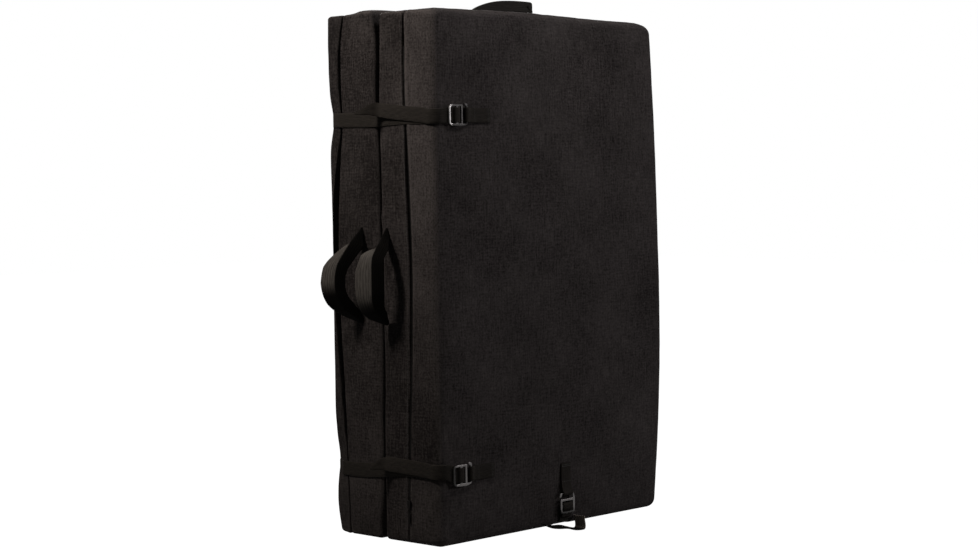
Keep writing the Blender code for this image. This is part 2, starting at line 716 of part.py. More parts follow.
def make_handles():
    for half, from_front, bow, lean in (
            ("front", FRONT_HANDLE_FROM_FRONT, FRONT_HANDLE_BOW, 0),
            ("rear", REAR_HANDLE_FROM_FRONT, REAR_HANDLE_BOW, REAR_HANDLE_LEAN)):
        wall = Vector((OPEN_X, FRONT_Y + from_front, 0))
        places = [wall + UP * HANDLE_TOP_Z, wall + UP * HANDLE_BOTTOM_Z]
        names = [half + "_handle_upper_tab", half + "_handle_lower_tab"]
        make_tabs(names, places, -ALONG_X, UP, ALONG_Y)
        feet = [place - ALONG_X * HANDLE_FOOT for place in places]
        grab_loop(half + "_side_handle", feet[0], feet[1], -ALONG_X, bow, HANDLE_WEBBING, lean)
    middle_x = MIDDLE_X + TOP_HANDLE_FROM_MIDDLE
    places = []
    for side in (-1, 1):
        x = middle_x + side * TOP_HANDLE_LENGTH / 2
        crest_x = x + (TAB_LENGTH / 2 if x < MIDDLE_X else -TAB_LENGTH / 2)
        z = HEIGHT + top_crown(crest_x, 1 - TOP_HANDLE_FROM_FRONT / FRONT_DEPTH)
        places.append(Vector((x, FRONT_Y + TOP_HANDLE_FROM_FRONT, z + top_tilt_allowance())))
    level = max(place.z for place in places)
    make_tabs(["top_handle_left_tab", "top_handle_right_tab"], places, UP, ALONG_X, ALONG_Y)
    feet = [Vector((place.x, place.y, level + HANDLE_FOOT)) for place in places]
    grab_loop("top_handle", feet[0], feet[1], UP, TOP_HANDLE_HEIGHT, HANDLE_WEBBING)


def top_tilt_allowance():
    """The top's crown rises across a tab's width, so the tab sits on its higher edge."""
    edge = TOP_HANDLE_FROM_FRONT - HANDLE_WEBBING / 2
    here = TOP_CROWN * (1 - (2 * TOP_HANDLE_FROM_FRONT / FRONT_DEPTH - 1) ** 2)
    return max(TOP_CROWN * (1 - (2 * edge / FRONT_DEPTH - 1) ** 2) - here, 0)


def make_bottom_loop():
    """A short webbing loop along the front bottom edge. Standing on the ground, the pad folds it up to this shape."""
    low_z = LOOP_FLOOR_GAP + STRAP_THICKNESS / 2
    top_z = low_z + LOOP_DROP
    middle_x = BOTTOM_STRAP_X + LOOP_FROM_STRAP
    root_y = FRONT_Y - front_crown(middle_x + LOOP_SPAN / 2, top_z) - 2 * SEAT_GAP
    middle = Vector((middle_x, root_y - STRAP_WIDTH / 2, top_z))
    bend = LOOP_DROP * 0.6
    path = []
    for side, first, last in ((-1, 0, 90), (1, 90, 0)):
        elbow = middle + ALONG_X * side * (LOOP_SPAN / 2 - bend) - UP * (LOOP_DROP - bend)
        if side < 0:
            path.append(middle - ALONG_X * LOOP_SPAN / 2)
        path += arc(elbow, bend, first, last, 4, ALONG_X * side, -UP)
    path.append(middle + ALONG_X * LOOP_SPAN / 2)
    thing = ribbon("bottom_loop", path, ALONG_Y, [STRAP_WIDTH] * len(path), STRAP_THICKNESS, "webbing")
    move_origin(thing, (middle.x, root_y, middle.z))


# Fold hinge


def make_fold_hinge():
    """The cloth strip that joins the two halves down the hinge side."""
    wall = HINGE_X + HINGE_STRIP_OUT
    middle_y = (FRONT_INNER_Y + REAR_INNER_Y) / 2
    shape = bmesh.new()
    rows = []
    profile = [(-1, 0), (-0.4, 0), (0, 0.0008), (0.4, 0), (1, 0)]
    for z in (HINGE_STRIP_MARGIN, HEIGHT / 2, HEIGHT - HINGE_STRIP_MARGIN):
        row = []
        for along, out in profile:
            y = middle_y + along * (HINGE_STRIP_REACH + FOLD_GAP / 2)
            row.append(shape.verts.new((wall + out, y, z)))
        rows.append(row)
    for lower, upper in zip(rows, rows[1:]):
        for a, b, c, d in zip(lower, lower[1:], upper[1:], upper):
            shape.faces.new((a, b, c, d))
    solidify(add_mesh("fold_hinge", shape, "webbing"), HINGE_STRIP_THICKNESS, 0)


# Carrying harness


def panel_y(x, z):
    return BACK_Y + panel_crown(x - MIDDLE_X, z)


def make_shoulder_side(side, word):
    """A padded shoulder strap, its ladder lock and the webbing below it."""
    top = Vector((MIDDLE_X + side * SHOULDER_APART_TOP / 2, 0, SHOULDER_TOP_Z))
    bottom = Vector((MIDDLE_X + side * SHOULDER_APART_BOTTOM / 2, 0, SHOULDER_BOTTOM_Z))
    along = (bottom - top).normalized()
    across = along.cross(ALONG_Y).normalized()
    path, widths = [], []
    steps = 12
    for step in range(steps + 1):
        share = step / steps
        place = top.lerp(bottom, share)
        proud = panel_y(place.x, place.z) + SEAT_GAP * 2 + SHOULDER_THICKNESS / 2
        place.y = proud + SHOULDER_BOW * math.sin(math.pi * share) ** 2
        path.append(place)
        spread = min(math.sin(math.pi * share) / math.sin(math.radians(40)), 1)
        widths.append(SHOULDER_END_WIDTH + (SHOULDER_WIDTH - SHOULDER_END_WIDTH) * spread)
    strap = ribbon(word + "_shoulder_strap", path, across, widths, SHOULDER_THICKNESS, "panel")
    pivot = Vector((top.x, panel_y(top.x, top.z) + SEAT_GAP, SHOULDER_TOP_Z + SHOULDER_END_WIDTH * abs(across.z)))
    move_origin(strap, pivot)
    make_ladder_lock(word, side, bottom, along, across)


def make_ladder_lock(word, side, strap_end, along, across):
    """The ladder lock at the strap's lower end, and the webbing that runs down through it to the panel."""
    lock_start = strap_end + along * 2 * SEAT_GAP
    under = SEAT_GAP + STRAP_THICKNESS / 2
    surface = panel_y(strap_end.x, strap_end.z)
    plate_out = SEAT_GAP * 2 + STRAP_THICKNESS + LADDER_LOCK_THICKNESS / 2
    bar = LADDER_LOCK_HEIGHT / 6
    half = LADDER_LOCK_WIDTH / 2
    inner = half - bar
    outer = rounded_outline([
        (0, -half, True), (LADDER_LOCK_HEIGHT, -half, True), (LADDER_LOCK_HEIGHT, half, True), (0, half, True)], bar)
    slots = [[(bar * k, -inner), (bar * k + 1.5 * bar, -inner), (bar * k + 1.5 * bar, inner), (bar * k, inner)]
             for k in (1, 3.5)]
    lock = plate(word + "_ladder_lock", [outer, *slots], LADDER_LOCK_THICKNESS, "plastic")
    turn = Matrix((along, across, along.cross(across))).transposed()
    start = Vector((lock_start.x, surface + plate_out, lock_start.z))
    lock.matrix_world = Matrix.Translation(start) @ turn.to_4x4()
    crest = plate_out + LADDER_LOCK_THICKNESS / 2 + SEAT_GAP + STRAP_THICKNESS / 2
    near, far = bar * 1.75, bar * 4.25
    chamfer = STRAP_THICKNESS
    profile = [
        (near - chamfer, under), (near, under + chamfer), (near, crest - chamfer), (near + chamfer, crest),
        (far - chamfer, crest), (far, crest - chamfer), (far, under + chamfer), (far + chamfer, under)]
    path = [Vector((lock_start.x, surface + out, lock_start.z)) + along * step for step, out in profile[1:]]
    reach = (lock_start.z - LOWER_WEBBING_END_Z) / abs(along.z)
    end = lock_start + along * reach
    end.y = panel_y(end.x, end.z) + under
    path.append(end)
    ribbon(word + "_lower_webbing", path, across, [STRAP_WIDTH] * len(path), STRAP_THICKNESS, "webbing")


def make_belt_wing(side, word):
    """One padded wing of the waist belt, lying over the lower webbing."""
    root = WIDTH / 2 - BELT_ROOT_FROM_EDGE
    root_x = MIDDLE_X + side * root
    rise = LAYER + SEAT_GAP * 2
    path, widths = [], []
    for share, lift, width in ((0, 0, 0.7), (0.2, 0, 1), (0.45, 1, 1), (0.8, 1, 1), (1, 1, 0.7)):
        x = root_x - side * (root - BELT_END_FROM_MIDDLE) * share
        y = panel_y(x, BELT_Z + BELT_WIDTH / 2) + SEAT_GAP * 2 + BELT_THICKNESS / 2 + rise * lift
        path.append(Vector((x, y, BELT_Z)))
        widths.append(BELT_WIDTH * width)
    wing = ribbon(word + "_belt_wing", path, UP, widths, BELT_THICKNESS, "panel")
    move_origin(wing, (root_x, panel_y(root_x, BELT_Z) + SEAT_GAP, BELT_Z))
    return path[-1]


def make_belt_buckle(word, side, wing_end, prongs):
    """Half of a side-release buckle on the end of a wing: a socket, or a body with two prongs."""
    start_x = wing_end.x - side * SEAT_GAP
    body_length = BELT_BUCKLE_LENGTH - (BELT_PRONG_LENGTH if prongs else 0)
    end_x = start_x - side * body_length
    half_z = BELT_BUCKLE_WIDTH / 2
    half_y = BELT_BUCKLE_THICKNESS / 2
    low = (min(start_x, end_x), wing_end.y - half_y, BELT_Z - half_z)
    high = (max(start_x, end_x), wing_end.y + half_y, BELT_Z + half_z)
    shape = box_shape(low, high)
    shape.faces.ensure_lookup_table()
    tip = min(shape.faces, key=lambda face: side * face.calc_center_median().x)
    if prongs:
        prong_z = [BELT_Z + sign * half_z * share for sign in (-1, 1) for share in (0.5, 0.85)]
        cut_lines(shape, 2, sorted(prong_z))
        tips = [
            face for face in shape.faces
            if abs(face.calc_center_median().x - end_x) < SEAT_GAP
            and half_z * 0.5 < abs(face.calc_center_median().z - BELT_Z) < half_z * 0.85]
        for face in tips:
            push_face(shape, face, (-side * BELT_PRONG_LENGTH, 0, 0))
    else:
        wall = BELT_BUCKLE_THICKNESS / 5
        bmesh.ops.inset_region(shape, faces=[tip], thickness=wall)
        push_face(shape, tip, (side * BELT_PRONG_LENGTH, 0, 0))
    add_mesh(word, shape, "plastic", smooth=False)


def make_harness():
    for side, word in ((-1, "left"), (1, "right")):
        make_shoulder_side(side, word)
        end = make_belt_wing(side, word)
        make_belt_buckle("belt_buckle_" + ("socket" if side < 0 else "prongs"), side, end, side > 0)


def hang_on_axis(name, place, members):
    """An empty on a joint's axis, which carries the pieces that turn about it."""
    axis = bpy.data.objects.new(name, None)
    PAD.objects.link(axis)
    axis.location = place
    bpy.context.view_layer.update()
    for member in members:
        thing = bpy.data.objects[member]
        thing.parent = axis
        thing.matrix_parent_inverse = axis.matrix_world.inverted()


def hang_moving_pieces():
    front = [thing.name for thing in PAD.objects if thing.name.startswith(("front_", "top_handle", "bottom_loop"))]
    hooked = [place + part for place in FRAMES for part in ("_buckle", "_anchor")]
    hang_on_axis("fold_axis", (HINGE_X + HINGE_OUT, (FRONT_INNER_Y + REAR_INNER_Y) / 2, 0), front + hooked)


make_front_cover()
make_rear_cover()
make_foams()
make_harness_panel()
make_zips()
make_buckles_and_anchors()
make_closure_strap("upper_closure_strap", FRAMES["upper"])
make_closure_strap("lower_closure_strap", FRAMES["lower"])
make_strap_roots()
make_bottom_strap()
make_handles()
make_bottom_loop()
make_fold_hinge()
make_harness()
hang_moving_pieces()
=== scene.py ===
"""The folded crash pad dressed for its photograph: cloth covers, webbing, hooks, zips, harness, light and camera."""
import math

import bmesh
import bpy
import numpy as np
from mathutils import Matrix, Vector, noise


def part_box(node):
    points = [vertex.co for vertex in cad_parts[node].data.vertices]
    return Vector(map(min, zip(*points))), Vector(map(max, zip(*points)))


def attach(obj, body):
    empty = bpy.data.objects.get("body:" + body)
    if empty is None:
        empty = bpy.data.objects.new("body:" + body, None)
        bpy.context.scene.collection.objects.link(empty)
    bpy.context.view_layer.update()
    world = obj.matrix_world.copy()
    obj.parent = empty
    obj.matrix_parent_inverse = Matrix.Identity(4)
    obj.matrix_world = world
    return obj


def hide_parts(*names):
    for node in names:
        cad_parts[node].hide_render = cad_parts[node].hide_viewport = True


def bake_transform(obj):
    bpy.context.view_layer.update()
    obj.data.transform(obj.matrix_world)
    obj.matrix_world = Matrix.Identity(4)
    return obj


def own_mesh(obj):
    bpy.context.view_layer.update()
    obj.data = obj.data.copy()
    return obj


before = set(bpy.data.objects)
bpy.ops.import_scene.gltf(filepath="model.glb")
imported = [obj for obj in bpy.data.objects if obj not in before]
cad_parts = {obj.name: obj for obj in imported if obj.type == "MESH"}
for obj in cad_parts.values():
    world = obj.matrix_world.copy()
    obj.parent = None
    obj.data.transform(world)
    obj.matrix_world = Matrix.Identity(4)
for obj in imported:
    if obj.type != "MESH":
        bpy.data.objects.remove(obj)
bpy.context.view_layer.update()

# Sizes of the pad, in metres, in the CAD's own frame
rear_low, rear_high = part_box("rear_cover")
OPEN_X, HINGE_X = rear_low.x, rear_high.x
REAR_INNER_Y, REAR_OUTER_Y = rear_low.y, rear_high.y
FRONT_INNER_Y = REAR_INNER_Y - 0.004
PANEL_INNER_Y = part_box("harness_panel")[0].y
HEIGHT = 0.900
WIDTH = HINGE_X - OPEN_X
MIDDLE_X = (OPEN_X + HINGE_X) / 2
FRONT_DEPTH = 0.137
REAR_DEPTH = REAR_OUTER_Y - REAR_INNER_Y
FRONT_Y = FRONT_INNER_Y - FRONT_DEPTH
PANEL_DEPTH = 0.021
BACK_Y = PANEL_INNER_Y + PANEL_DEPTH
SEAM_Y = FRONT_Y + 0.076
REAR_ZIP_Y = (REAR_INNER_Y + REAR_OUTER_Y) / 2
FACE_CROWN = 0.003
EDGE_BOW = 0.009
TOP_CROWN = 0.003
PANEL_CROWN = 0.004
FRONT_RADIUS = 0.016
INNER_RADIUS = 0.008
BACK_RADIUS = 0.006

STRAP = 0.025
STRAP_THICK = 0.0016
UPPER_Z = 0.7225
LOWER_Z = 0.1200
BOTTOM_STRAP_X = MIDDLE_X + 0.024
RECESS_HALF = 0.015
RECESS_DEPTH = 0.0034
PLATE_OUT = 0.0056
X, Y, Z = np.eye(3)


# Materials


class Wire:
    """The value of a shader socket, which takes part in Python arithmetic."""

    def __init__(self, recipe, socket):
        self.recipe = recipe
        self.socket = socket

    def math(self, operation, *others):
        return self.recipe.math(operation, self, *others)

    def __add__(self, other):
        return self.math("ADD", other)

    def __sub__(self, other):
        return self.math("SUBTRACT", other)

    def __mul__(self, other):
        return self.math("MULTIPLY", other)

    def __rsub__(self, other):
        return self.recipe.math("SUBTRACT", other, self)

    __radd__ = __add__
    __rmul__ = __mul__

    def hump(self):
        """A row of rounded humps, one for each unit."""
        return (self * math.pi).math("SINE").math("ABSOLUTE")

    def clipped(self):
        return self.math("MAXIMUM", 0.0).math("MINIMUM", 1.0)


class Recipe:
    """The nodes of one material, or of the world."""

    def __init__(self, name, kind="materials"):
        self.made = getattr(bpy.data, kind).new(name)
        self.made.use_nodes = True
        self.tree = self.made.node_tree
        self.tree.nodes.clear()

    def add(self, kind, settings=None, inputs=None, output=0):
        node = self.tree.nodes.new(kind)
        for key, value in (settings or {}).items():
            setattr(node, key, value)
        for key, value in (inputs or {}).items():
            if isinstance(value, Wire):
                self.tree.links.new(value.socket, node.inputs[key])
            else:
                node.inputs[key].default_value = value
        return Wire(self, node.outputs[output]) if node.outputs else node

    def math(self, operation, *values):
        return self.add("ShaderNodeMath", {"operation": operation}, dict(enumerate(values)))

    def noise(self, place, scale, detail=3.0, stretch=(1, 1, 1)):
        stretched = self.add("ShaderNodeVectorMath", {"operation": "MULTIPLY"}, {0: place, 1: stretch})
        return self.add("ShaderNodeTexNoise", {}, {"Vector": stretched, "Scale": scale, "Detail": detail})

    def blend(self, share, dark, light):
        return self.add("ShaderNodeMix", {"data_type": "RGBA"}, {0: share, 6: (*dark, 1), 7: (*light, 1)}, 2)

    def uv(self):
        place = self.add("ShaderNodeUVMap", {"uv_map": "cloth"})
        return place, self.part(place, 0), self.part(place, 1)

    def place(self):
        return self.add("ShaderNodeTexCoord", {}, {}, "Object")

    def part(self, place, number):
        return self.add("ShaderNodeSeparateXYZ", {}, {0: place}, number)

    def attribute(self, name):
        return self.add("ShaderNodeAttribute", {"attribute_name": name}, {}, "Fac")

    def seen(self):
        """1 for the camera, and for rays that a glossy or clear surface sends on."""
        rays = [self.add("ShaderNodeLightPath", {}, {}, "Is %s Ray" % kind)
                for kind in ("Camera", "Glossy", "Transmission")]
        return self.math("MAXIMUM", self.math("MAXIMUM", rays[0], rays[1]), rays[2])

    def finish(self, color, roughness, height, metallic=0.0, level=0.5):
        bump = self.add("ShaderNodeBump", {}, {"Height": height, "Distance": 1.0})
        shader = self.add("ShaderNodeBsdfPrincipled", {}, {
            "Base Color": color, "Roughness": roughness, "Metallic": metallic, "Specular IOR Level": level,
            "Normal": bump})
        self.add("ShaderNodeOutputMaterial", {}, {"Surface": shader})
        return self.made


def woven_cover(name, dark, light, thread=0.0012):
    """Plain-woven coated nylon with slubs, faint clouds, soft dents, paler rubbed edges, and light and shade painted on
    from the same point attribute.
    """
    recipe = Recipe(name)
    place, u, v = recipe.uv()
    warp, weft = u * (1 / thread), v * (1 / thread)
    over = recipe.math("PINGPONG", warp.math("FLOOR") + weft.math("FLOOR"), 1.0)
    weave = warp.hump() * (0.3 + 0.7 * over) + weft.hump() * (1.0 - 0.7 * over)
    slub = recipe.noise(place, 1.0, 3.0, (330, 36, 1)) - 0.5
    cross_slub = recipe.noise(place, 1.0, 3.0, (48, 360, 1)) - 0.5
    grain = recipe.noise(place, 260.0) - 0.5
    cloud = recipe.noise(place, 9.0, 5.0) - 0.5
    # this attribute holds both wear on the edges and painted light and shade
    wear_and_painted_shade = recipe.attribute("wear_and_painted_shade")
    share = 0.42 + slub * 0.95 + cross_slub * 0.70 + grain * 1.15 + cloud * 0.85 + weave * 0.04
    share = (share + wear_and_painted_shade * 0.34 + wear_and_painted_shade.math("MAXIMUM", 0.0) * grain * 0.8).clipped()
    height = weave * 0.00010 + slub * 0.00006 + recipe.noise(place, 16.0) * 0.0010
    return recipe.finish(recipe.blend(share, dark, light), 0.86 + grain * 0.12, height, level=0.01)


def woven_webbing(name, dark, light, rib=0.0021, ribbed=0.35, streak=0.75):
    """Heavy ribbed webbing with a twill line on each rib, painted black as shade where its attribute says so."""
    recipe = Recipe(name)
    place, u, v = recipe.uv()
    ribs = (u * (1 / rib)).hump()
    twill = ((v * (1 / 0.0013)) + (u * (1 / rib)).math("PINGPONG", 1.0) * 0.8).hump()
    slub = recipe.noise(place, 1.0, 2.0, (520, 70, 1))
    level = (0.65 - ribbed * 2) * 0.6 - 0.075 - streak / 2
    share = (ribs * ribbed + twill * ribbed + slub * streak + level).clipped() * (1.0 - recipe.attribute("painted_shade"))
    height = ribs * 0.00022 + twill * ribs * 0.00012
    return recipe.finish(recipe.blend(share, dark, light), 0.66 + slub * 0.20, height, level=0.012)


def satin_metal(name, tone, gloss):
    """Grey metal with fine rubbing marks."""
    recipe = Recipe(name)
    place = recipe.place()
    rub = recipe.noise(place, 1.0, 3.0, (260, 900, 900))
    blotch = recipe.noise(place, 130.0)
    color = recipe.blend(blotch, [c * 0.75 for c in tone], [c * 1.25 for c in tone])
    return recipe.finish(color, rub * 0.22 + blotch * 0.10 + gloss - 0.14, rub * 0.00003, metallic=1.0)


def moulded_plastic(name, tone, level=0.35):
    """Black plastic or paint with a fine grain, rubbed in places."""
    recipe = Recipe(name)
    place = recipe.place()
    rubbed = recipe.noise(place, 90.0, 4.0)
    color = recipe.blend(rubbed, tone, [c * 1.9 for c in tone])
    return recipe.finish(color, rubbed * 0.22 + 0.36, recipe.noise(place, 2600.0, 2.0) * 0.00005, level=level)


def foam(name, dark, light, cell, depth):
    """Cut foam with open pits."""
    recipe = Recipe(name)
    place = recipe.place()
    pits = recipe.add("ShaderNodeTexVoronoi", {}, {"Vector": place, "Scale": cell}, "Distance")
    share = (pits * 0.8 + recipe.noise(place, 18.0) * 0.4).math("MINIMUM", 1.0)
    return recipe.finish(recipe.blend(share, dark, light), 0.92, pits * depth, level=0.2)


def thread_material(name, tone):
    """Twisted sewing thread."""
    recipe = Recipe(name)
    twist = recipe.noise(recipe.place(), 1500.0, 2.0)
    color = recipe.blend(twist, tone, [c * 2.2 for c in tone])
    return recipe.finish(color, 0.55 + twist * 0.2, twist * 0.00008, level=0.2)


def zip_material(name, tone):
    """Nylon zip tape and coil."""
    recipe = Recipe(name)
    place = recipe.place()
    ribs = (recipe.part(place, 2) * (1 / 0.0009)).hump()
    grain = recipe.noise(place, 900.0, 2.0)
    color = recipe.blend(grain, tone, [c * 2 for c in tone])
    return recipe.finish(color, 0.62 + grain * 0.2, ribs * 0.0001, level=0.04)


COVER = woven_cover("cover_cloth", (0.0065, 0.0056, 0.0054), (0.0370, 0.0325, 0.0315))
PANEL = woven_cover("panel_cloth", (0.0065, 0.0057, 0.0056), (0.0310, 0.0275, 0.0265), 0.0009)
WEBBING = woven_webbing("strap_webbing", (0.0044, 0.0038, 0.0033), (0.0244, 0.0216, 0.0190))
# a pale light tone that stands in for the sheen on the handles' lit half: painted sheen
GRAB_WEBBING = woven_webbing("handle_webbing", (0.0020, 0.0018, 0.0016), (0.1250, 0.1140, 0.1040), 0.0026, 0.16, 0.36)
# its very pale tone is painted light, standing for light bounced up from the floor onto the loop's inner face
LOOP_WEBBING = woven_webbing("loop_webbing", (0.0020, 0.0018, 0.0016), (0.5600, 0.4750, 0.4050))
HOOK_METAL = satin_metal("hook_metal", (0.068, 0.0635, 0.062), 0.36)
# a shaded and a lit copy of the hook metal: painted shade and painted highlight on parts of the hooks
SHADED_HOOK_METAL = satin_metal("shaded_hook_metal", (0.0165, 0.0155, 0.015), 0.38)
LIT_HOOK_METAL = satin_metal("lit_hook_metal", (0.125, 0.119, 0.116), 0.30)
SLIDER_PAINT = moulded_plastic("black_slider_paint", (0.0035, 0.0032, 0.0030), 0.01)
PLASTIC = moulded_plastic("harness_plastic", (0.010, 0.010, 0.011))
STIFF_FOAM = foam("closed_cell_foam", (0.05, 0.05, 0.055), (0.13, 0.13, 0.14), 700.0, 0.0003)
SOFT_FOAM = foam("open_cell_foam", (0.42, 0.39, 0.28), (0.66, 0.62, 0.47), 420.0, 0.0008)
THREAD = thread_material("sewing_thread", (0.010, 0.0095, 0.009))
ZIP = zip_material("zip_nylon", (0.0022, 0.0020, 0.0019))


# Meshes


def linked(name, data):
    """A new object in the scene."""
    thing = bpy.data.objects.new(name, data)
    bpy.context.scene.collection.objects.link(thing)
    return thing


def mark(thing, key, values):
    """Gives each point of a piece a value that its material reads."""
    values = np.asarray(values, np.float32).ravel()
    thing.data.attributes.new(key, "FLOAT", "POINT").data.foreach_set("value", values)


def mesh_piece(name, points, faces, uvs=None, material=None, smooth=True):
    """An object from points and faces, with its place in its mesh."""
    mesh = bpy.data.meshes.new(name)
    mesh.from_pydata([tuple(p) for p in points], [], [tuple(f) for f in faces])
    if uvs is not None:
        mesh.uv_layers.new(name="cloth").data.foreach_set("uv", np.asarray(uvs, np.float32).ravel())
    if smooth:
        mesh.shade_smooth()
    if material is not None:
        mesh.materials.append(material)
    mesh.validate()
    return linked(name, mesh)


def plain_mesh(thing):
    """Turns an object with modifiers, or a curve, into a plain mesh at the origin."""
    bpy.context.view_layer.update()
    shape = bpy.data.meshes.new_from_object(thing.evaluated_get(bpy.context.evaluated_depsgraph_get()))
    shape.transform(thing.matrix_world)
    name = thing.name
    materials = [slot.material for slot in thing.material_slots]
    bpy.data.objects.remove(thing)
    shape.name = name
    if not shape.materials:
        for material in materials:
            shape.materials.append(material)
    return linked(name, shape)


def tidy_shell(thing, merge=True):
    """Points the faces outwards, and merges doubled points unless told not to."""
    shape = bmesh.new()
    shape.from_mesh(thing.data)
    if merge:
        bmesh.ops.remove_doubles(shape, verts=shape.verts, dist=0.00002)
    bmesh.ops.recalc_face_normals(shape, faces=shape.faces)
    shape.to_mesh(thing.data)
    shape.free()
    return thing


def keep_sharp(thing, angle):
    """Keeps the edges sharp that turn by more than an angle, in degrees."""
    thing.data.set_sharp_from_angle(angle=math.radians(angle))
    return thing


def subdivide(thing):
    step = thing.modifiers.new("Subdivision", "SUBSURF")
    step.levels = step.render_levels = 1
    step.boundary_smooth = "PRESERVE_CORNERS"


def round_edges(thing, width):
    step = thing.modifiers.new("Rounded edges", "BEVEL")
    step.width = width
    step.segments = 3
    step.limit_method = "ANGLE"
    step.angle_limit = math.radians(35)


def give(thing, body, node, stands_for_it=True):
    """Puts a piece on the body that carries it, and hides the CAD node that it stands for, unless told not to."""
    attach(thing, body)
    if stands_for_it:
        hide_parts(node)
    return thing


def unit(rows):
    """Each row brought to length 1."""
    return rows / np.maximum(np.linalg.norm(rows, axis=1, keepdims=True), 1e-9)


def bell(distance, width):
    return np.exp(-(np.asarray(distance) / width) ** 2)


def ramp(value, start, end):
    """0 before start, 1 after end and a soft rise between them."""
    share = np.clip((np.asarray(value) - start) / (end - start), 0, 1)
    return share * share * (3 - 2 * share)


def cloudy(points, scale, seed):
    """Soft noise from -1 to 1 at each point."""
    shift = Vector((seed * 13.7, seed * 5.1, seed * 9.3))
    return np.array([noise.noise(Vector(p) + shift) for p in np.asarray(points) * scale])


def grid_places(low, high, step, kept):
    """Places from low to high, about step apart, with the kept ones among them."""
    fixed = sorted({low, high, *[k for k in kept if low < k < high]})
    places = []
    for a, b in zip(fixed, fixed[1:]):
        count = max(1, round((b - a) / step))
        places += list(np.linspace(a, b, count, endpoint=False))
    return np.array(places + [high])


def edge_places(low, high, low_radius, high_radius):
    """Places that follow the rounding of both edges."""
    turns = np.tan(np.radians([0, 12, 24, 35, 45]))
    return [low + low_radius * (1 - t) for t in turns] + [high - high_radius * (1 - t) for t in turns]


def block_side(axis, end):
    """The index of one side of a block's lattice."""
    return tuple(end if n == axis else slice(None) for n in range(3))


def soft_block(low, high, step, kept, radii):
    """A closed block on a grid, with its front and back edges rounded to their own radii.

    Returns the points, their outward directions, the faces and the cloth's own flat coordinates."""
    edge = max(radii)
    axes = []
    for axis in range(3):
        near, far = (radii if axis == 1 else (edge, edge))
        rounding = edge_places(low[axis], high[axis], near, far)
        axes.append(grid_places(low[axis], high[axis], step, [*rounding, *kept[axis]]))
    sizes = [len(a) for a in axes]
    i, j, k = np.meshgrid(*[np.arange(n) for n in sizes], indexing="ij")
    skin = np.zeros(sizes, bool)
    for axis in range(3):
        for end in (0, -1):
            skin[block_side(axis, end)] = True
    number = np.full(sizes, -1)
    number[skin] = np.arange(skin.sum())
    lattice = np.stack([axes[0][i[skin]], axes[1][j[skin]], axes[2][k[skin]]], 1)
    faces, uvs = [], []
    for axis, flat in ((0, (1, 2)), (1, (0, 2)), (2, (0, 1))):
        for end in (0, -1):
            sheet = number[block_side(axis, end)]
            quads = np.stack([sheet[:-1, :-1], sheet[1:, :-1], sheet[1:, 1:], sheet[:-1, 1:]], -1).reshape(-1, 4)
            if (end == 0) != (axis == 1):
                quads = quads[:, ::-1]
            faces.append(quads)
            uvs.append(lattice[quads.ravel()][:, flat])
    share = (lattice[:, 1] - low[1]) / (high[1] - low[1])
    radius = radii[0] + (radii[1] - radii[0]) * share
    low_core = np.stack([low[0] + radius, np.full_like(radius, low[1] + radii[0]), low[2] + radius], 1)
    high_core = np.stack([high[0] - radius, np.full_like(radius, high[1] - radii[1]), high[2] - radius], 1)
    core = np.clip(lattice, low_core, high_core)
    outward = unit(lattice - core)
    return core + outward * radius[:, None], outward, np.concatenate(faces), np.concatenate(uvs)


# How the covers stand proud, are drawn in and crease


def dome(u, w):
    return (1 - np.minimum(u * u, 1)) * (1 - np.minimum(w * w, 1))


def upright(z):
    return 2 * z / HEIGHT - 1


def front_bow(x, z, depth_share):
    """How far the front half's far side bows out about its middle."""
    x_share = np.clip((x - OPEN_X) / WIDTH, 0, 1)
    return EDGE_BOW * (1 - upright(z) ** 2) * x_share * depth_share


def front_crown(x, z):
    """How far the front face stands proud."""
    return front_bow(x, z, 1) + FACE_CROWN * dome(2 * (x - MIDDLE_X) / WIDTH, upright(z))


def top_crown(x, depth_share):
    """How far a half's top stands proud."""
    return TOP_CROWN * dome(2 * (x - MIDDLE_X) / WIDTH, 2 * depth_share - 1)


def panel_crown(x, z):
    return PANEL_CROWN * dome(2 * (x - MIDDLE_X) / WIDTH, upright(z))


def panel_y(x, z):
    return BACK_Y + panel_crown(x, z)


def strap_bell(z, width):
    """1 under the two closure straps, falling off above and below them."""
    return bell(z - UPPER_Z, width) + bell(z - LOWER_Z, width)


def recess(x):
    """1 under the bottom strap and 0 beside it."""
    return 1 - ramp(np.abs(x - BOTTOM_STRAP_X), RECESS_HALF, RECESS_HALF + 0.005)


# Depths behind the front face at which the lines of the open side run, by height
BACK_WALL = (
    (0, 0.05, 0.12, 0.167, 0.199, 0.251, 0.321, 0.373, 0.45, 0.503, 0.538, 0.582, 0.634, 0.665, 0.691, 0.734, 0.772,
     0.849, 0.883, 0.90),
    (0.2245, 0.2265, 0.2290, 0.2307, 0.2325, 0.2362, 0.2408, 0.2440, 0.2466, 0.2468, 0.2459, 0.2435, 0.2396, 0.2370,
     0.2317, 0.2312, 0.2342, 0.2335, 0.2270, 0.2240))
PANEL_GAP = (
    (0, 0.15, 0.167, 0.199, 0.277, 0.373, 0.538, 0.582, 0.608, 0.634, 0.665, 0.691, 0.734, 0.772, 0.815, 0.849,
     0.883, 0.90),
    (0, 0.0005, 0.0034, 0.0060, 0.0075, 0.0092, 0.0111, 0.0113, 0.0100, 0.0079, 0.0045, 0.0022, 0.0018, 0.0046,
     0.0058, 0.0039, 0.0020, 0))
BACK_CORNER = (
    (0, 0.011, 0.025, 0.05, 0.074, 0.10, 0.12, 0.145, 0.17, 0.214, 0.302, 0.372, 0.538, 0.599, 0.669, 0.695, 0.7165,
     0.738, 0.76, 0.799, 0.851, 0.894),
    (-0.0110, -0.0100, -0.0065, -0.0028, -0.0024, -0.0055, -0.0109, -0.0094, -0.0040, -0.0010, -0.0020, -0.0020,
     -0.0030, -0.0014, 0.0020, -0.0036, -0.0095, -0.0046, 0.0004, 0.0024, 0.0043, 0.0042))
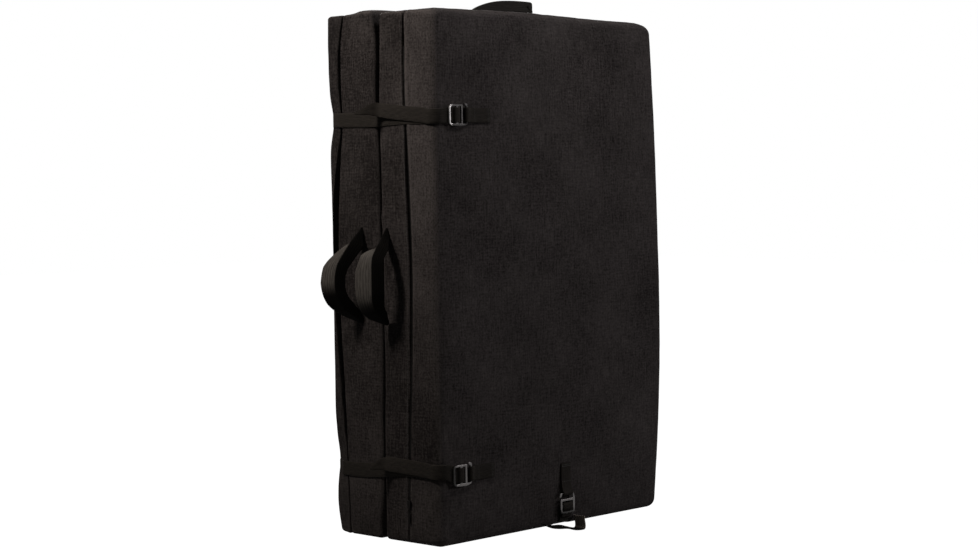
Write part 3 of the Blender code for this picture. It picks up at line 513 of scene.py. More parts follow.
FRONT_EDGE = (
    (0, 0.09, 0.149, 0.206, 0.275, 0.34, 0.539, 0.582, 0.624, 0.667, 0.70, 0.744, 0.777, 0.819, 0.861, 0.90),
    (0, 0, 0.0012, 0.0008, -0.0013, -0.0020, -0.0005, 0.0004, 0.0012, 0.0018, 0.0028, 0.0036, 0.0030, 0.0020,
     0.0005, -0.0013))
REAR_EDGE = (
    (0, 0.025, 0.043, 0.065, 0.09, 0.149, 0.206, 0.275, 0.34, 0.539, 0.624, 0.667, 0.697, 0.744, 0.777, 0.819,
     0.861, 0.875, 0.89),
    (0.0060, 0.0075, 0.0045, 0.0005, -0.0012, -0.0014, 0, -0.0026, -0.0036, -0.0013, -0.0008, 0, 0.0026, 0.0062,
     0.0062, 0.0052, 0.0080, 0.0110, 0.0165))
SEAM_LINE = (
    (0, 0.041, 0.095, 0.147, 0.177, 0.245, 0.313, 0.364, 0.431, 0.481, 0.532, 0.582, 0.624, 0.665, 0.697, 0.749,
     0.799, 0.849, 0.879, 0.9),
    (0.0775, 0.0771, 0.0757, 0.0720, 0.0710, 0.0691, 0.0672, 0.0654, 0.0637, 0.0635, 0.0655, 0.0672, 0.0684, 0.0690,
     0.0691, 0.0726, 0.0740, 0.0742, 0.0749, 0.0750))
SEAM_HALF = (
    SEAM_LINE[0],
    (0.0010, 0.0012, 0.0015, 0.0016, 0.0017, 0.0020, 0.0022, 0.0025, 0.0027, 0.0030, 0.0036, 0.0034, 0.0036, 0.0028,
     0.0020, 0.0017, 0.0018, 0.0022, 0.0016, 0.0012))


def read(table, z):
    """A table's value at a height, on a smooth curve through its points."""
    fine = np.linspace(0, HEIGHT, 181)
    values = np.interp(fine, *table)
    values = np.convolve(np.pad(values, 2, "edge"), [0.1, 0.22, 0.36, 0.22, 0.1], "valid")
    return np.interp(z, fine, values)


def groove_y(z):
    """Where the rear cover's back wall stands."""
    return FRONT_Y + read(BACK_WALL, z) + 0.0012


def seam_y(z):
    return FRONT_Y + read(SEAM_LINE, z)


def common_sag(point, outward, seed):
    """Slight waves that stuffed cloth has everywhere, and puckers along its edges."""
    near_edge = 1 - np.abs(outward).max(1)
    wave = cloudy(point, 5.0, seed) * 0.0010 + cloudy(point, 16.0, seed + 1) * 0.0004
    pucker = cloudy(point, 42.0, seed + 2) * 0.0004 * np.clip(near_edge * 4, 0, 1)
    return (wave + pucker)[:, None] * outward


def front_form(point):
    """How the front half swells: its crown, its bowed edges and its full lower corner."""
    x, y, z = point.T
    depth_share = np.clip((FRONT_INNER_Y - y) / FRONT_DEPTH, 0, 1)
    x_share = np.clip((x - OPEN_X) / WIDTH, 0, 1)
    belly = 0.0038 * bell(z - 0.22, 0.26) * x_share ** 3 * depth_share
    drop = 0.0034 * ramp(x, MIDDLE_X - 0.05, MIDDLE_X + 0.18) + 0.0060 * bell(x - HINGE_X, 0.022)
    return np.stack([
        front_bow(x, z, depth_share) * x_share + belly,
        read(FRONT_EDGE, z) * (1 - depth_share) * bell(x - OPEN_X, 0.06) - front_crown(x, z) * depth_share - belly,
        top_crown(x, depth_share) * (z / HEIGHT) ** 2 - drop * ramp(z, 0.80, 0.90)], 1)


def facing(outward, axis, sign):
    """How far the cloth faces along an axis, from 0 to 1."""
    return np.maximum(sign * outward[:, axis], 0)


def handle_pull(y, z, foot_y, width):
    """Where a side handle's feet pull the cloth out."""
    return bell(y - foot_y, width) * (bell(z - 0.545, 0.030) + bell(z - 0.358, 0.030))


def dress_front(point, outward):
    """The front cover as stuffed: its seam, its strap marks, its pulls and creases."""
    x, y, z = point.T
    open_side, face, base = facing(outward, 0, -1), facing(outward, 1, -1), facing(outward, 2, -1)
    not_base = 1 - base
    moved = point + common_sag(point, outward, 3) * not_base[:, None]
    off = y - SEAM_Y
    half = read(SEAM_HALF, z)
    trough = 1 - ramp(np.abs(off), 0.0022, 0.0040)
    drawn = trough * (0.0022 + 1.7 * (half - 0.001)) * (1 - np.abs(outward[:, 1])) * not_base
    drawn -= bell(off + 0.0085, 0.0040) * 0.0013 * open_side * ramp(z, 0.12, 0.30) * not_base
    drawn -= bell(off - 0.0075, 0.0030) * 0.0007 * open_side * not_base
    foot = 1 - ramp(z, 0.085, 0.130)
    drawn += (bell(off + 0.0145, 0.0020) * 0.0016 + bell(off + 0.021, 0.003) * 0.0006) * foot * open_side * not_base
    moved[:, 1] += (seam_y(z) - SEAM_Y) * bell(off, 0.040) + off * (half / 0.0030 - 1) * bell(off, 0.0055)
    drawn += recess(x) * RECESS_DEPTH * base
    corner = np.clip(open_side * face * 3, 0, 1)
    drawn += strap_bell(z, 0.013) * (0.0012 * corner + 0.0006 * open_side)
    drawn -= (strap_bell(z - 0.024, 0.012) + strap_bell(z + 0.024, 0.012)) * 0.0008 * corner
    drawn -= handle_pull(y, z, -0.0215, 0.030) * open_side * 0.0022
    slant = (z - 0.548) - 0.55 * (y + 0.012)
    drawn -= bell(slant, 0.005) * bell(y + 0.008, 0.024) * open_side * 0.0022
    in_from_edge = x - OPEN_X
    crease = bell((z - 0.092) + 0.75 * (in_from_edge - 0.028), 0.004) * bell(in_from_edge - 0.030, 0.016)
    crease += bell((z - 0.084) + 0.5 * (in_from_edge - 0.042), 0.003) * bell(in_from_edge - 0.040, 0.014)
    drawn -= crease * face * 0.0016
    moved -= outward * drawn[:, None]
    moved += front_form(point)
    moved[:, 1] += ramp(y, FRONT_INNER_Y - 0.020, FRONT_INNER_Y) * open_side * 0.0008 * cloudy(point, 9.0, 21)
    return moved


def side_painted_shading(z):
    """The front half's open side with light and shade painted on by height: darker near its foot, paler from about its
    middle upward, a little less pale toward its top.
    """
    return -0.25 - 0.50 * bell(z - 0.21, 0.09) + 0.80 * ramp(z, 0.28, 0.60) - 0.29 * ramp(z, 0.62, 0.80)


def gusset_painted_shading(z):
    """Painted shade on the narrow gusset behind the seam, by height: dark all along, less so about its middle and at
    its foot.
    """
    return -0.80 + 0.38 * bell(z - 0.62, 0.16) + 0.35 * (1 - ramp(z, 0.05, 0.15))


def rear_painted_shading(z):
    """Painted shade on the rear half's open side, by height: darkest toward its top."""
    return -0.10 - 0.70 * ramp(z, 0.02, 0.55)


def front_wear_and_painted_shading(point, outward):
    """Paler cloth along the edges, beside the seam and low on the face, and light and shade painted by height on the
    open side.
    """
    x, y, z = point.T
    off = y - SEAM_Y
    beside = bell(off + 0.0062, 0.0030) * (0.4 + 0.6 * ramp(z, 0.42, 0.62)) + bell(off - 0.0062, 0.0024) * 0.6
    band = ramp(off, -0.003, 0.003)
    # painted light and shade by height on the open side and on the gusset behind the seam
    side = (beside + side_painted_shading(z) * (1 - band) + gusset_painted_shading(z) * band) * facing(outward, 0, -1)
    low = (0.10 + 0.30 * ramp(x, OPEN_X + 0.25, HINGE_X - 0.05)) * (1 - ramp(z, 0.12, 0.42))
    return np.clip(edge_wear(outward) + low * facing(outward, 1, -1) + side, -1, 1)


def edge_wear(outward):
    """Paler where the cloth turns an edge."""
    return np.clip((1 - np.abs(outward).max(1)) / 0.29, 0, 1)


def rear_wear_and_painted_shading(point, outward):
    """Paler cloth along the edges, and shade painted by height on the rear half's open side."""
    return edge_wear(outward) * 0.9 + rear_painted_shading(point[:, 2]) * facing(outward, 0, -1)


def rear_form(point):
    """How the rear half stands: its open edge draws back from the front half, and its back wall runs in a long curve."""
    x, y, z = point.T
    share = np.clip((y - REAR_INNER_Y) / REAR_DEPTH, 0, 1)
    front_share = (1 - share) ** 2
    return np.stack([
        bell(x - OPEN_X, 0.06) * front_share * ramp(z, 0.79, 0.885) * 0.0030,
        read(REAR_EDGE, z) * bell(x - OPEN_X, 0.05) * front_share + (groove_y(z) - REAR_OUTER_Y) * share ** 2,
        top_crown(x, share) * (z / HEIGHT) ** 2], 1)


def dress_rear(point, outward):
    """The rear cover as stuffed: its zip, its strap marks and its pulls."""
    x, y, z = point.T
    open_side, base = facing(outward, 0, -1), facing(outward, 2, -1)
    depth_share = np.clip((y - REAR_INNER_Y) / REAR_DEPTH, 0, 1)
    moved = point + common_sag(point, outward, 8) * (1 - base)[:, None]
    zip_length = ramp(z, 0.05, 0.06) * (1 - ramp(z, 0.84, 0.85))
    drawn = recess(x) * RECESS_DEPTH * base
    drawn += bell(y - REAR_ZIP_Y, 0.0020) * 0.0022 * facing(outward, 0, 1) * zip_length
    drawn += strap_bell(z, 0.014) * 0.0012 * open_side
    drawn -= handle_pull(y, z, 0.0425, 0.026) * open_side * 0.0020
    moved -= outward * drawn[:, None]
    moved += rear_form(point)
    moved[:, 2] += 0.0050 * bell(depth_share - 0.28, 0.34) * bell(x - OPEN_X, 0.20) * facing(outward, 2, 1)
    inner_edge = (1 - ramp(y, REAR_INNER_Y, REAR_INNER_Y + 0.020)) * open_side
    moved[:, 1] += inner_edge * 0.0008 * cloudy(point, 9.0, 24)
    return moved


def dress_panel(point, outward):
    """The harness panel as stuffed, with its sewn channels and its pushed corner."""
    x, y, z = point.T
    share = np.clip((y - PANEL_INNER_Y) / PANEL_DEPTH, 0, 1)
    moved = point + common_sag(point, outward, 14) * (1 - facing(outward, 2, -1))[:, None]
    from_edge = np.minimum(np.minimum(x - OPEN_X, HINGE_X - x), np.minimum(z, HEIGHT - z))
    inside = ramp(from_edge, 0.026, 0.030)
    channel = bell(from_edge - 0.026, 0.0022) + inside * (bell(z - 0.300, 0.0022) + bell(z - 0.800, 0.0022))
    moved -= outward * (channel * 0.0016 * facing(outward, 1, 1))[:, None]
    inner_wall = groove_y(z) + 0.0010 + read(PANEL_GAP, z) * bell(x - OPEN_X, 0.045) - PANEL_INNER_Y
    push = read(BACK_CORNER, z) / 2 * bell(x - OPEN_X, 0.030)
    moved[:, 0] -= push * ramp(share, 0, 0.8)
    moved[:, 1] += (panel_crown(x, z) + push) * share + inner_wall * (1 - share)
    return moved


def held_cloth(point, outward):
    """1 where a cover's cloth can't move: its edges, seam and zips, and whatever is under something sewn or strapped on."""
    x, y, z = point.T
    near_straps = (np.abs(z - UPPER_Z) < 0.017).astype(int) + (np.abs(z - LOWER_Z) < 0.017)
    held = (1 - np.abs(outward).max(1)) * 20
    held += bell(y - SEAM_Y, 0.007) * (np.abs(outward[:, 1]) < 0.5) * 1.2
    held += (bell(y - REAR_ZIP_Y, 0.006) + (np.abs(y) < 0.028)) * (outward[:, 0] > 0.5)
    held += (outward[:, 2] < -0.9) + near_straps * (x < OPEN_X + 0.125)
    held += (np.abs(x - BOTTOM_STRAP_X) < 0.020) * (z < 0.105) * (outward[:, 1] < -0.9)
    return np.clip(held, 0, 1)


CLOTH_FRAMES = 20
CLOTH_SETTINGS = dict(
    quality=4, mass=0.3, tension_stiffness=12, compression_stiffness=12, shear_stiffness=6, bending_stiffness=0.4,
    air_damping=4, use_pressure=True, uniform_pressure_force=4, shrink_min=-0.012, vertex_group_mass="held")


def stuffed(name, points, outward, faces, most):
    """How each point moves when the cover is simulated as cloth, held at its seams and pressed out by the foam."""
    held = held_cloth(points, outward)
    trial = mesh_piece(name + "_trial", points - outward * (0.0012 * (1 - held))[:, None], faces)
    group = trial.vertex_groups.new(name="held")
    for number, weight in enumerate(held):
        group.add([number], float(weight), "REPLACE")
    cloth = trial.modifiers.new("Cloth", "CLOTH")
    for key, value in CLOTH_SETTINGS.items():
        setattr(cloth.settings, key, value)
    cloth.settings.effector_weights.gravity = 0
    cloth.point_cache.frame_start, cloth.point_cache.frame_end = 1, CLOTH_FRAMES
    scene = bpy.context.scene
    for number in range(1, CLOTH_FRAMES + 1):
        scene.frame_set(number)
    after = trial.evaluated_get(bpy.context.evaluated_depsgraph_get()).data
    places = np.empty(len(points) * 3, np.float32)
    after.vertices.foreach_get("co", places)
    bpy.data.objects.remove(trial)
    scene.frame_set(1)
    moved = places.reshape(-1, 3) - points
    size = np.linalg.norm(moved, axis=1, keepdims=True)
    return moved * np.tanh(size / (2 * most)) * most / np.maximum(size, 1e-9) * (1 - held)[:, None]


def padded_block(name, low, high, step, kept, radii, dress, paint_wear_and_shade, material, body, node, fill, most):
    """A stuffed cover. Most is the furthest that the simulation may move its cloth."""
    points, outward, faces, uvs = soft_block(low, high, step, kept, radii)
    places = dress(points, outward) + stuffed(name, points, outward, faces, most)
    thing = mesh_piece(name, places, faces, uvs, material)
    # each point gets its wear and the light and shade painted on by height
    mark(thing, "wear_and_painted_shade", paint_wear_and_shade(points, outward))
    subdivide(thing)
    give(thing, body, node)


def make_covers():
    """The three padded covers, with rows of points kept where seams and straps run."""
    strap_lines = [z + d for z in (UPPER_Z, LOWER_Z) for d in (-0.030, -0.016, 0, 0.016, 0.030)]
    seam_lines = [SEAM_Y + d for d in (-0.0165, -0.0145, -0.0125, -0.0085, -0.0055, -0.0038, -0.0031, -0.0024, 0, 0.0024,
                                       0.0031, 0.0038, 0.0055, 0.0085)]
    recess_lines = [BOTTOM_STRAP_X + d for d in (-0.020, -0.015, 0.015, 0.020)]
    zip_lines = [REAR_ZIP_Y + d for d in (-0.004, -0.002, 0, 0.002, 0.004)]
    channel = [0.022, 0.026, 0.030]
    xs = [OPEN_X + d for d in channel] + [HINGE_X - d for d in channel]
    zs = [*channel, *[HEIGHT - d for d in channel], 0.297, 0.300, 0.303, 0.797, 0.800, 0.803, *strap_lines]
    for node, low_y, high_y, step, kept, radii, dress, paint_wear_and_shade, material, body, fill, most in (
            ("front_cover", FRONT_Y, FRONT_INNER_Y, 0.0100, (recess_lines, seam_lines, strap_lines),
             (FRONT_RADIUS, INNER_RADIUS), dress_front, front_wear_and_painted_shading, COVER, "front_half", 1.0, 0.0026),
            ("rear_cover", REAR_INNER_Y, REAR_OUTER_Y, 0.0110, (recess_lines, zip_lines, strap_lines),
             (INNER_RADIUS, BACK_RADIUS), dress_rear, rear_wear_and_painted_shading, COVER, "rear_half", 1.0, 0.0022),
            ("harness_panel", PANEL_INNER_Y, BACK_Y, 0.0110, (xs, [], zs),
             (0.003, 0.006), dress_panel, rear_wear_and_painted_shading, PANEL, "rear_half", 0.8, 0.0008)):
        padded_block(node + "_cloth", (OPEN_X, low_y, 0), (HINGE_X, high_y, HEIGHT), step, kept, radii, dress, paint_wear_and_shade,
                     material, body, node, fill, most)


# Webbing


def soften(points, rounds=3):
    """Cuts the corners of a path until it is smooth, and keeps its ends."""
    path = [np.asarray(p, float) for p in points]
    for _ in range(rounds):
        cut = [path[0]]
        for a, b in zip(path, path[1:]):
            cut += [a * 0.75 + b * 0.25, a * 0.25 + b * 0.75]
        path = cut + [path[-1]]
    return np.array(path)


def even_path(points, gap):
    """The same path with its points an even gap apart."""
    points = np.asarray(points, float)
    steps = np.linalg.norm(np.diff(points[:, :3], axis=0), axis=1)
    run = np.concatenate([[0], np.cumsum(steps)])
    count = max(2, int(run[-1] / gap) + 1)
    wanted = np.linspace(0, run[-1], count)
    return np.stack([np.interp(wanted, run, points[:, i]) for i in range(points.shape[1])], 1), wanted


HALF_SECTION = [(a, 1.0) for a in np.linspace(-0.93, 0.93, 6)] + [(0.985, 0.62), (1.0, 0.0), (0.985, -0.62)]
STRAP_SECTION = np.array(HALF_SECTION + [(-a, -b) for a, b in HALF_SECTION])


def strip(name, path, across, width, thickness, material, gap=0.0025, widths=None, section=STRAP_SECTION):
    """A band swept along a path, whose points may each have their own share of the width."""
    path = np.asarray(path, float)
    across = np.broadcast_to(across, path.shape)
    scale = np.ones(len(path)) if widths is None else widths
    packed, run = even_path(np.column_stack([path, across, scale]), gap)
    path, across, scale = packed[:, :3], packed[:, 3:6], packed[:, 6]
    tangent = unit(np.gradient(path, axis=0))
    across = unit(across - tangent * np.sum(across * tangent, 1, keepdims=True))
    normal = np.cross(tangent, across)
    half = width * scale / 2
    rings = [path + across * (a * half)[:, None] + normal * (b * thickness / 2) for a, b in section]
    flats = [np.stack([a * half + (0 if b >= 0 else 0.5), run], 1) for a, b in section]
    return ring_mesh(name, np.stack(rings, 1), np.stack(flats, 1), material)


def row_faces(rows, count, across):
    """Faces between neighbouring rows of points, each of them across points wide."""
    return [(r * count + c, r * count + (c + 1) % count, (r + 1) * count + (c + 1) % count, (r + 1) * count + c)
            for r in range(rows - 1) for c in range(across)]


def ring_mesh(name, rings, flats, material):
    """A closed band through rings of points, with its cloth coordinates."""
    n, m = rings.shape[:2]
    faces = row_faces(n, m, m) + [tuple(range(m))[::-1], tuple(range((n - 1) * m, n * m))]
    flats = flats.reshape(-1, 2)
    uvs = [flats[corner] for face in faces for corner in face]
    return keep_sharp(tidy_shell(mesh_piece(name, rings.reshape(-1, 3), faces, uvs, material), merge=False), 50)


def join_pieces(name, things):
    """One object from several, for pieces of one body and one slot."""
    shape = bmesh.new()
    materials = []
    for thing in things:
        part = bmesh.new()
        part.from_mesh(thing.data)
        for face in part.faces:
            material = thing.data.materials[face.material_index]
            if material not in materials:
                materials.append(material)
            face.material_index = materials.index(material)
        mesh = bpy.data.meshes.new("joined")
        part.to_mesh(mesh)
        part.free()
        shape.from_mesh(mesh)
    whole = bpy.data.meshes.new(name)
    shape.to_mesh(whole)
    shape.free()
    for material in materials:
        whole.materials.append(material)
    for thing in things:
        bpy.data.objects.remove(thing)
    return linked(name, whole)


# Stitches


def rod_tree(name, crosswise):
    """A node tree that lays short rods along every edge of a mesh: crosswise along Y, or else in line with the edge."""
    tree = bpy.data.node_groups.new(name, "GeometryNodeTree")
    for label, kind in (("Geometry", "Geometry"), ("Length", "Float"), ("Pitch", "Float"), ("Radius", "Float"),
                        ("Finish", "Material")):
        tree.interface.new_socket(label, in_out="INPUT", socket_type="NodeSocket" + kind)
    tree.interface.new_socket("Geometry", in_out="OUTPUT", socket_type="NodeSocketGeometry")
    add, link = tree.nodes.new, tree.links.new
    given, result = add("NodeGroupInput"), add("NodeGroupOutput")
    to_curve, resample = add("GeometryNodeMeshToCurve"), add("GeometryNodeResampleCurve")
    resample.mode = "LENGTH"
    rod = add("GeometryNodeMeshCylinder")
    rod.inputs["Vertices"].default_value = 6
    if crosswise:
        turn = add("FunctionNodeEulerToRotation")
        turn.inputs[0].default_value = (math.radians(90), 0, 0)
    else:
        turn = add("FunctionNodeAlignRotationToVector")
        turn.axis = "Z"
        link(add("GeometryNodeInputTangent").outputs["Tangent"], turn.inputs["Vector"])
    spread = add("GeometryNodeInstanceOnPoints")
    real, paint = add("GeometryNodeRealizeInstances"), add("GeometryNodeSetMaterial")
    for start, output, end, socket in (
            (given, "Geometry", to_curve, "Mesh"), (to_curve, "Curve", resample, "Curve"),
            (given, "Pitch", resample, "Length"), (given, "Radius", rod, "Radius"), (given, "Length", rod, "Depth"),
            (resample, "Curve", spread, "Points"),
            (rod, "Mesh", spread, "Instance"), (turn, "Rotation", spread, "Rotation"),
            (spread, "Instances", real, "Geometry"), (real, "Geometry", paint, "Geometry"),
            (given, "Finish", paint, "Material"), (paint, "Geometry", result, "Geometry")):
        link(start.outputs[output], end.inputs[socket])
    return tree


STITCHES = rod_tree("Stitches", False)
ZIP_COIL = rod_tree("Zip coil", True)
# Length, pitch and radius of the rods
TACK_STITCH = (0.0019, 0.0024, 0.00030)
BOX_STITCH = (0.0019, 0.0025, 0.00030)
PAD_STITCH = (0.0030, 0.0042, 0.00032)
SEAM_STITCH = (0.0028, 0.0040, 0.00028)
COIL_LOOP = (0.0034, 0.0016, 0.0005)


def rods_along(name, lines, tree, rod, finish):
    """Rods along polylines, as one plain mesh."""
    points, edges = [], []
    for line in lines:
        edges += [(n, n + 1) for n in range(len(points), len(points) + len(line) - 1)]
        points += [tuple(p) for p in line]
    mesh = bpy.data.meshes.new(name)
    mesh.from_pydata(points, edges, [])
    rows = linked(name, mesh)
    step = rows.modifiers.new("Rods", "NODES")
    step.node_group = tree
    values = dict(zip(("Length", "Pitch", "Radius", "Finish"), (*rod, finish)))
    for item in tree.interface.items_tree:
        if item.name in values:
            step[item.identifier] = values[item.name]
    thing = plain_mesh(rows)
    thing.data.shade_smooth()
    return thing


def sew(name, lines, body, node, stitch):
    """Rows of stitches along polylines."""
    give(rods_along(name, lines, STITCHES, stitch, THREAD), body, node, stands_for_it=False)


def rectangle(middle, along, across, length, width):
    """The outline, and the crossed diagonals, of a box stitch."""
    a, b = along * length / 2, across * width / 2
    corners = [middle + a * s + b * t for s, t in ((-1, -1), (1, -1), (1, 1), (-1, 1))]
    return [[corners[m], corners[n]] for m, n in ((0, 1), (1, 2), (2, 3), (3, 0), (0, 2), (1, 3))]


# Hook buckles, their anchors and the closure straps


class StrapPlace:
    """Places along a strap, out from the cloth and across the webbing, for one hook buckle."""

    def __init__(self, word):
        low, high = (np.array(corner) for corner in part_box(word + "_buckle"))
        self.along = Z if word == "bottom" else X
        self.out = -Y
        self.across = -np.cross(self.along, self.out)
        self.start = np.where(self.along > 0, low, (low + high) / 2) + Y * PLATE_OUT

    def at(self, along, out, across=0.0):
        return self.start + self.along * along + self.out * out + self.across * across


PLACES = {word: StrapPlace(word) for word in ("upper", "lower", "bottom")}
# Where a hook's bars and slots lie along its strap
END_BAR, SLOT_1, BAR_2, SLOT_2, BAR_3, HOOK_SLOT, HOOK_BAR = 0.0045, 0.0110, 0.0165, 0.0230, 0.0275, 0.0355, 0.0385
HOOK_PLACE = 0.0370
# How far out from the cloth the first and the second layer of webbing lie
UNDER, OVER = 0.0011, 0.0030


def rounded(points, radius):
    """A closed outline with its corners rounded."""
    result = []
    points = [np.array(p) for p in points]
    for n, here in enumerate(points):
        before, after = points[n - 1] - here, points[(n + 1) % len(points)] - here
        sides = np.linalg.norm(before), np.linalg.norm(after)
        r = min(radius if np.isscalar(radius) else radius[n], sides[0] * 0.49, sides[1] * 0.49)
        enter, leave = here + before / sides[0] * r, here + after / sides[1] * r
        for t in (0, 0.25, 0.5, 0.75, 1):
            result.append(enter * (1 - t) ** 2 + here * 2 * t * (1 - t) + leave * t ** 2)
    return result


def flat_casting(name, outlines, thickness, edge, material, place, along, across):
    """A flat outline with holes, given rounded edges and set in place as a plain mesh."""
    curve = bpy.data.curves.new(name, "CURVE")
    curve.dimensions = "2D"
    curve.fill_mode = "BOTH"
    curve.extrude = thickness / 2 - edge
    curve.bevel_depth = edge
    curve.bevel_resolution = 3
    curve.offset = -edge
    for number, outline in enumerate(outlines):
        spline = curve.splines.new("POLY")
        spline.points.add(len(outline) - 1)
        for point, spot in zip(spline.points, outline if number == 0 else outline[::-1]):
            point.co = (spot[0], spot[1], 0, 1)
        spline.use_cyclic_u = True
    curve.materials.append(material)
    thing = linked(name, curve)
    turn = Matrix((along, across, np.cross(along, across))).transposed().to_4x4()
    thing.matrix_world = Matrix.Translation(Vector(place)) @ turn
    thing = tidy_shell(plain_mesh(thing))
    thing.data.shade_smooth()
    return keep_sharp(thing, 45)


def make_hook(word, metal, end_metal):
    """An open wire-like hook: two ladder slots, then a hook slot that opens at one side."""
    place = PLACES[word]
    half, inner = 0.0185, 0.0140
    start = 0.0012 if word == "bottom" else -0.0045
    outline = rounded([
        (start, -half + 0.0010), (0.0120, -half - 0.0002), (0.0290, -half - 0.0004), (HOOK_BAR, -half + 0.0030),
        (HOOK_BAR, half + 0.0004), (HOOK_SLOT - 0.0045, half + 0.0022), (HOOK_SLOT - 0.0052, half - 0.0012),
        (HOOK_SLOT, inner - 0.0004), (HOOK_SLOT, -inner), (BAR_3, -inner), (BAR_3, half - 0.0006), (start, half - 0.0006)],
        [0.0075, 0.008, 0.010, 0.0050, 0.0026, 0.0016, 0.0016, 0.0012, 0.0016, 0.0012, 0.0022, 0.0075])
    slots = [rounded([(near, -inner), (far, -inner), (far, inner), (near, inner)], radii) for near, far, radii in (
        (start + 0.0036, SLOT_1, [0.0040, 0.0012, 0.0012, 0.0040]), (BAR_2, SLOT_2, 0.0012))]
    thing = flat_casting(word + "_hook", [outline, *slots], 0.0030, 0.0011, metal,
                         place.at(0, PLATE_OUT), place.along, place.across)
    # the end bar takes the second metal: the lit copy on the upper hook, the shaded copy on the others
    thing.data.materials.append(end_metal)
    for face in thing.data.polygons:
        if (np.array(face.center) - place.start) @ place.along < start + 0.0080:
            face.material_index = 1
    give(thing, word + "_hook", word + "_buckle")


def loop_round(middle, radius, start, end, steps, first, second):
    """An arc of points round a middle, from one angle to another."""
    angles = np.radians(np.linspace(start, end, steps + 1))
    return [middle + first * radius * math.cos(a) + second * radius * math.sin(a) for a in angles]


def make_anchor(word, length):
    """Webbing sewn to the face and doubled round the hook's last bar."""
    place = PLACES[word]
    hook = place.at(HOOK_PLACE, PLATE_OUT)
    path = [place.at(length, UNDER), place.at(HOOK_PLACE + 0.024, UNDER),
            place.at(HOOK_PLACE + 0.010, UNDER + 0.0004)]
    path += loop_round(hook, 0.0032, -62, -298, 12, place.along, place.out)
    path += [place.at(HOOK_PLACE + 0.010, OVER + 0.0012), place.at(HOOK_PLACE + 0.022, OVER), place.at(length, OVER)]
    thing = strip(word + "_anchor_webbing", soften(path, 2), place.across, STRAP, STRAP_THICK, WEBBING, gap=0.0012)
    give(thing, "front_half", word + "_anchor")
    top = OVER + STRAP_THICK / 2 + 0.0001
    tacks = [[place.at(along, top, -0.0105), place.at(along, top, 0.0105)]
             for along in (length - 0.0035, length - 0.0062, HOOK_PLACE + 0.0185, HOOK_PLACE + 0.0210)]
    sew(word + "_anchor_stitches", tacks, "front_half", word + "_anchor", TACK_STITCH)


def ladder_path(place):
    """Up through the inner slot, over the middle bar and down through the outer slot."""
    inner, outer = (BAR_2 + SLOT_2) / 2, (END_BAR + SLOT_1) / 2
    crest = PLATE_OUT + 0.0015 + 0.0003 + STRAP_THICK / 2
    soft = 0.0022
    return [place.at(inner - soft, UNDER), place.at(inner, UNDER + soft), place.at(inner, crest - soft),
            place.at(inner - soft, crest), place.at(outer + soft, crest), place.at(outer, crest - soft),
            place.at(outer, OVER + soft / 2), place.at(outer - soft, OVER)]


def round_corner(z, out, start, end):
    """Round the near upright edge, with the crowned face behind it."""
    middle = np.array([OPEN_X + FRONT_RADIUS, FRONT_Y + FRONT_RADIUS, z])
    toward_middle = z - math.copysign(STRAP / 2, z - HEIGHT / 2)
    proud = front_crown(middle[0], toward_middle) + 0.0003
    points = loop_round(middle, FRONT_RADIUS + out, start, end, 8, -X, -Y)
    return [p - Y * proud * (middle[1] - p[1]) / (FRONT_RADIUS + out) for p in points]


def make_closure_strap(word, under_z, tail):
    """From the rear corner to the hook and back as a loose tail. Heights along the way come from the photograph."""
    place = PLACES[word]
    z = place.start[2]
    path = [np.array([OPEN_X - UNDER, BACK_Y - 0.024, z + under_z[0]])]
    for depth, lift in zip((0.200, 0.150, 0.100, 0.050), under_z[1:5]):
        path.append(np.array([OPEN_X - UNDER, FRONT_Y + depth, z + lift]))
    path += round_corner(z + under_z[5], UNDER, 0, 90)
    path += ladder_path(place)
    path.append(place.at(-0.002, OVER))
    path += round_corner(z + under_z[5], OVER, 90, 0)
    straight = len(path)
    for depth, lift, out, turn, share in tail:
        down = (1 - share) * STRAP / 2
        turned = math.radians(turn)
        path.append(np.array([OPEN_X - OVER - out - down * math.sin(turned), FRONT_Y + depth,
                              z + lift - down * math.cos(turned)]))
    turns = np.radians([0] * straight + [end[3] for end in tail])
    across = np.outer(np.cos(turns), Z) + np.outer(np.sin(turns), X)
    widths = [1.0] * straight + [end[4] for end in tail]
    soft = soften(np.column_stack([path, across, widths]), 2)
    thing = strip(word + "_closure_webbing", soft[:, :3], soft[:, 3:6], STRAP, STRAP_THICK, WEBBING, gap=0.0016,
                  widths=soft[:, 6])
    give(thing, word + "_strap", word + "_closure_strap")


def make_strap_root(word, drop, inset):
    """Where a closure strap is sewn on, round the rear corner of the harness panel."""
    z = PLACES[word].start[2] + drop
    corner = np.array([OPEN_X + 0.009 + inset, BACK_Y - 0.009 - inset, z])
    path = [np.array([OPEN_X + 0.0001, BACK_Y - 0.0234, z])]
    path += loop_round(corner, 0.0101, 0, 90, 8, -X, Y)
    end_x = OPEN_X + 0.045
    path.append(np.array([end_x, panel_y(end_x, z) + 0.0014, z]))
    thing = strip(word + "_root_webbing", path, Z, STRAP, STRAP_THICK, WEBBING, gap=0.0016)
    give(thing, "rear_half", word + "_strap_root")
    rows = rectangle(path[-1] + Y * 0.0010 - X * 0.0105, X, Z, 0.017, 0.019)
    sew(word + "_root_stitches", rows, "rear_half", word + "_strap_root", BOX_STITCH)


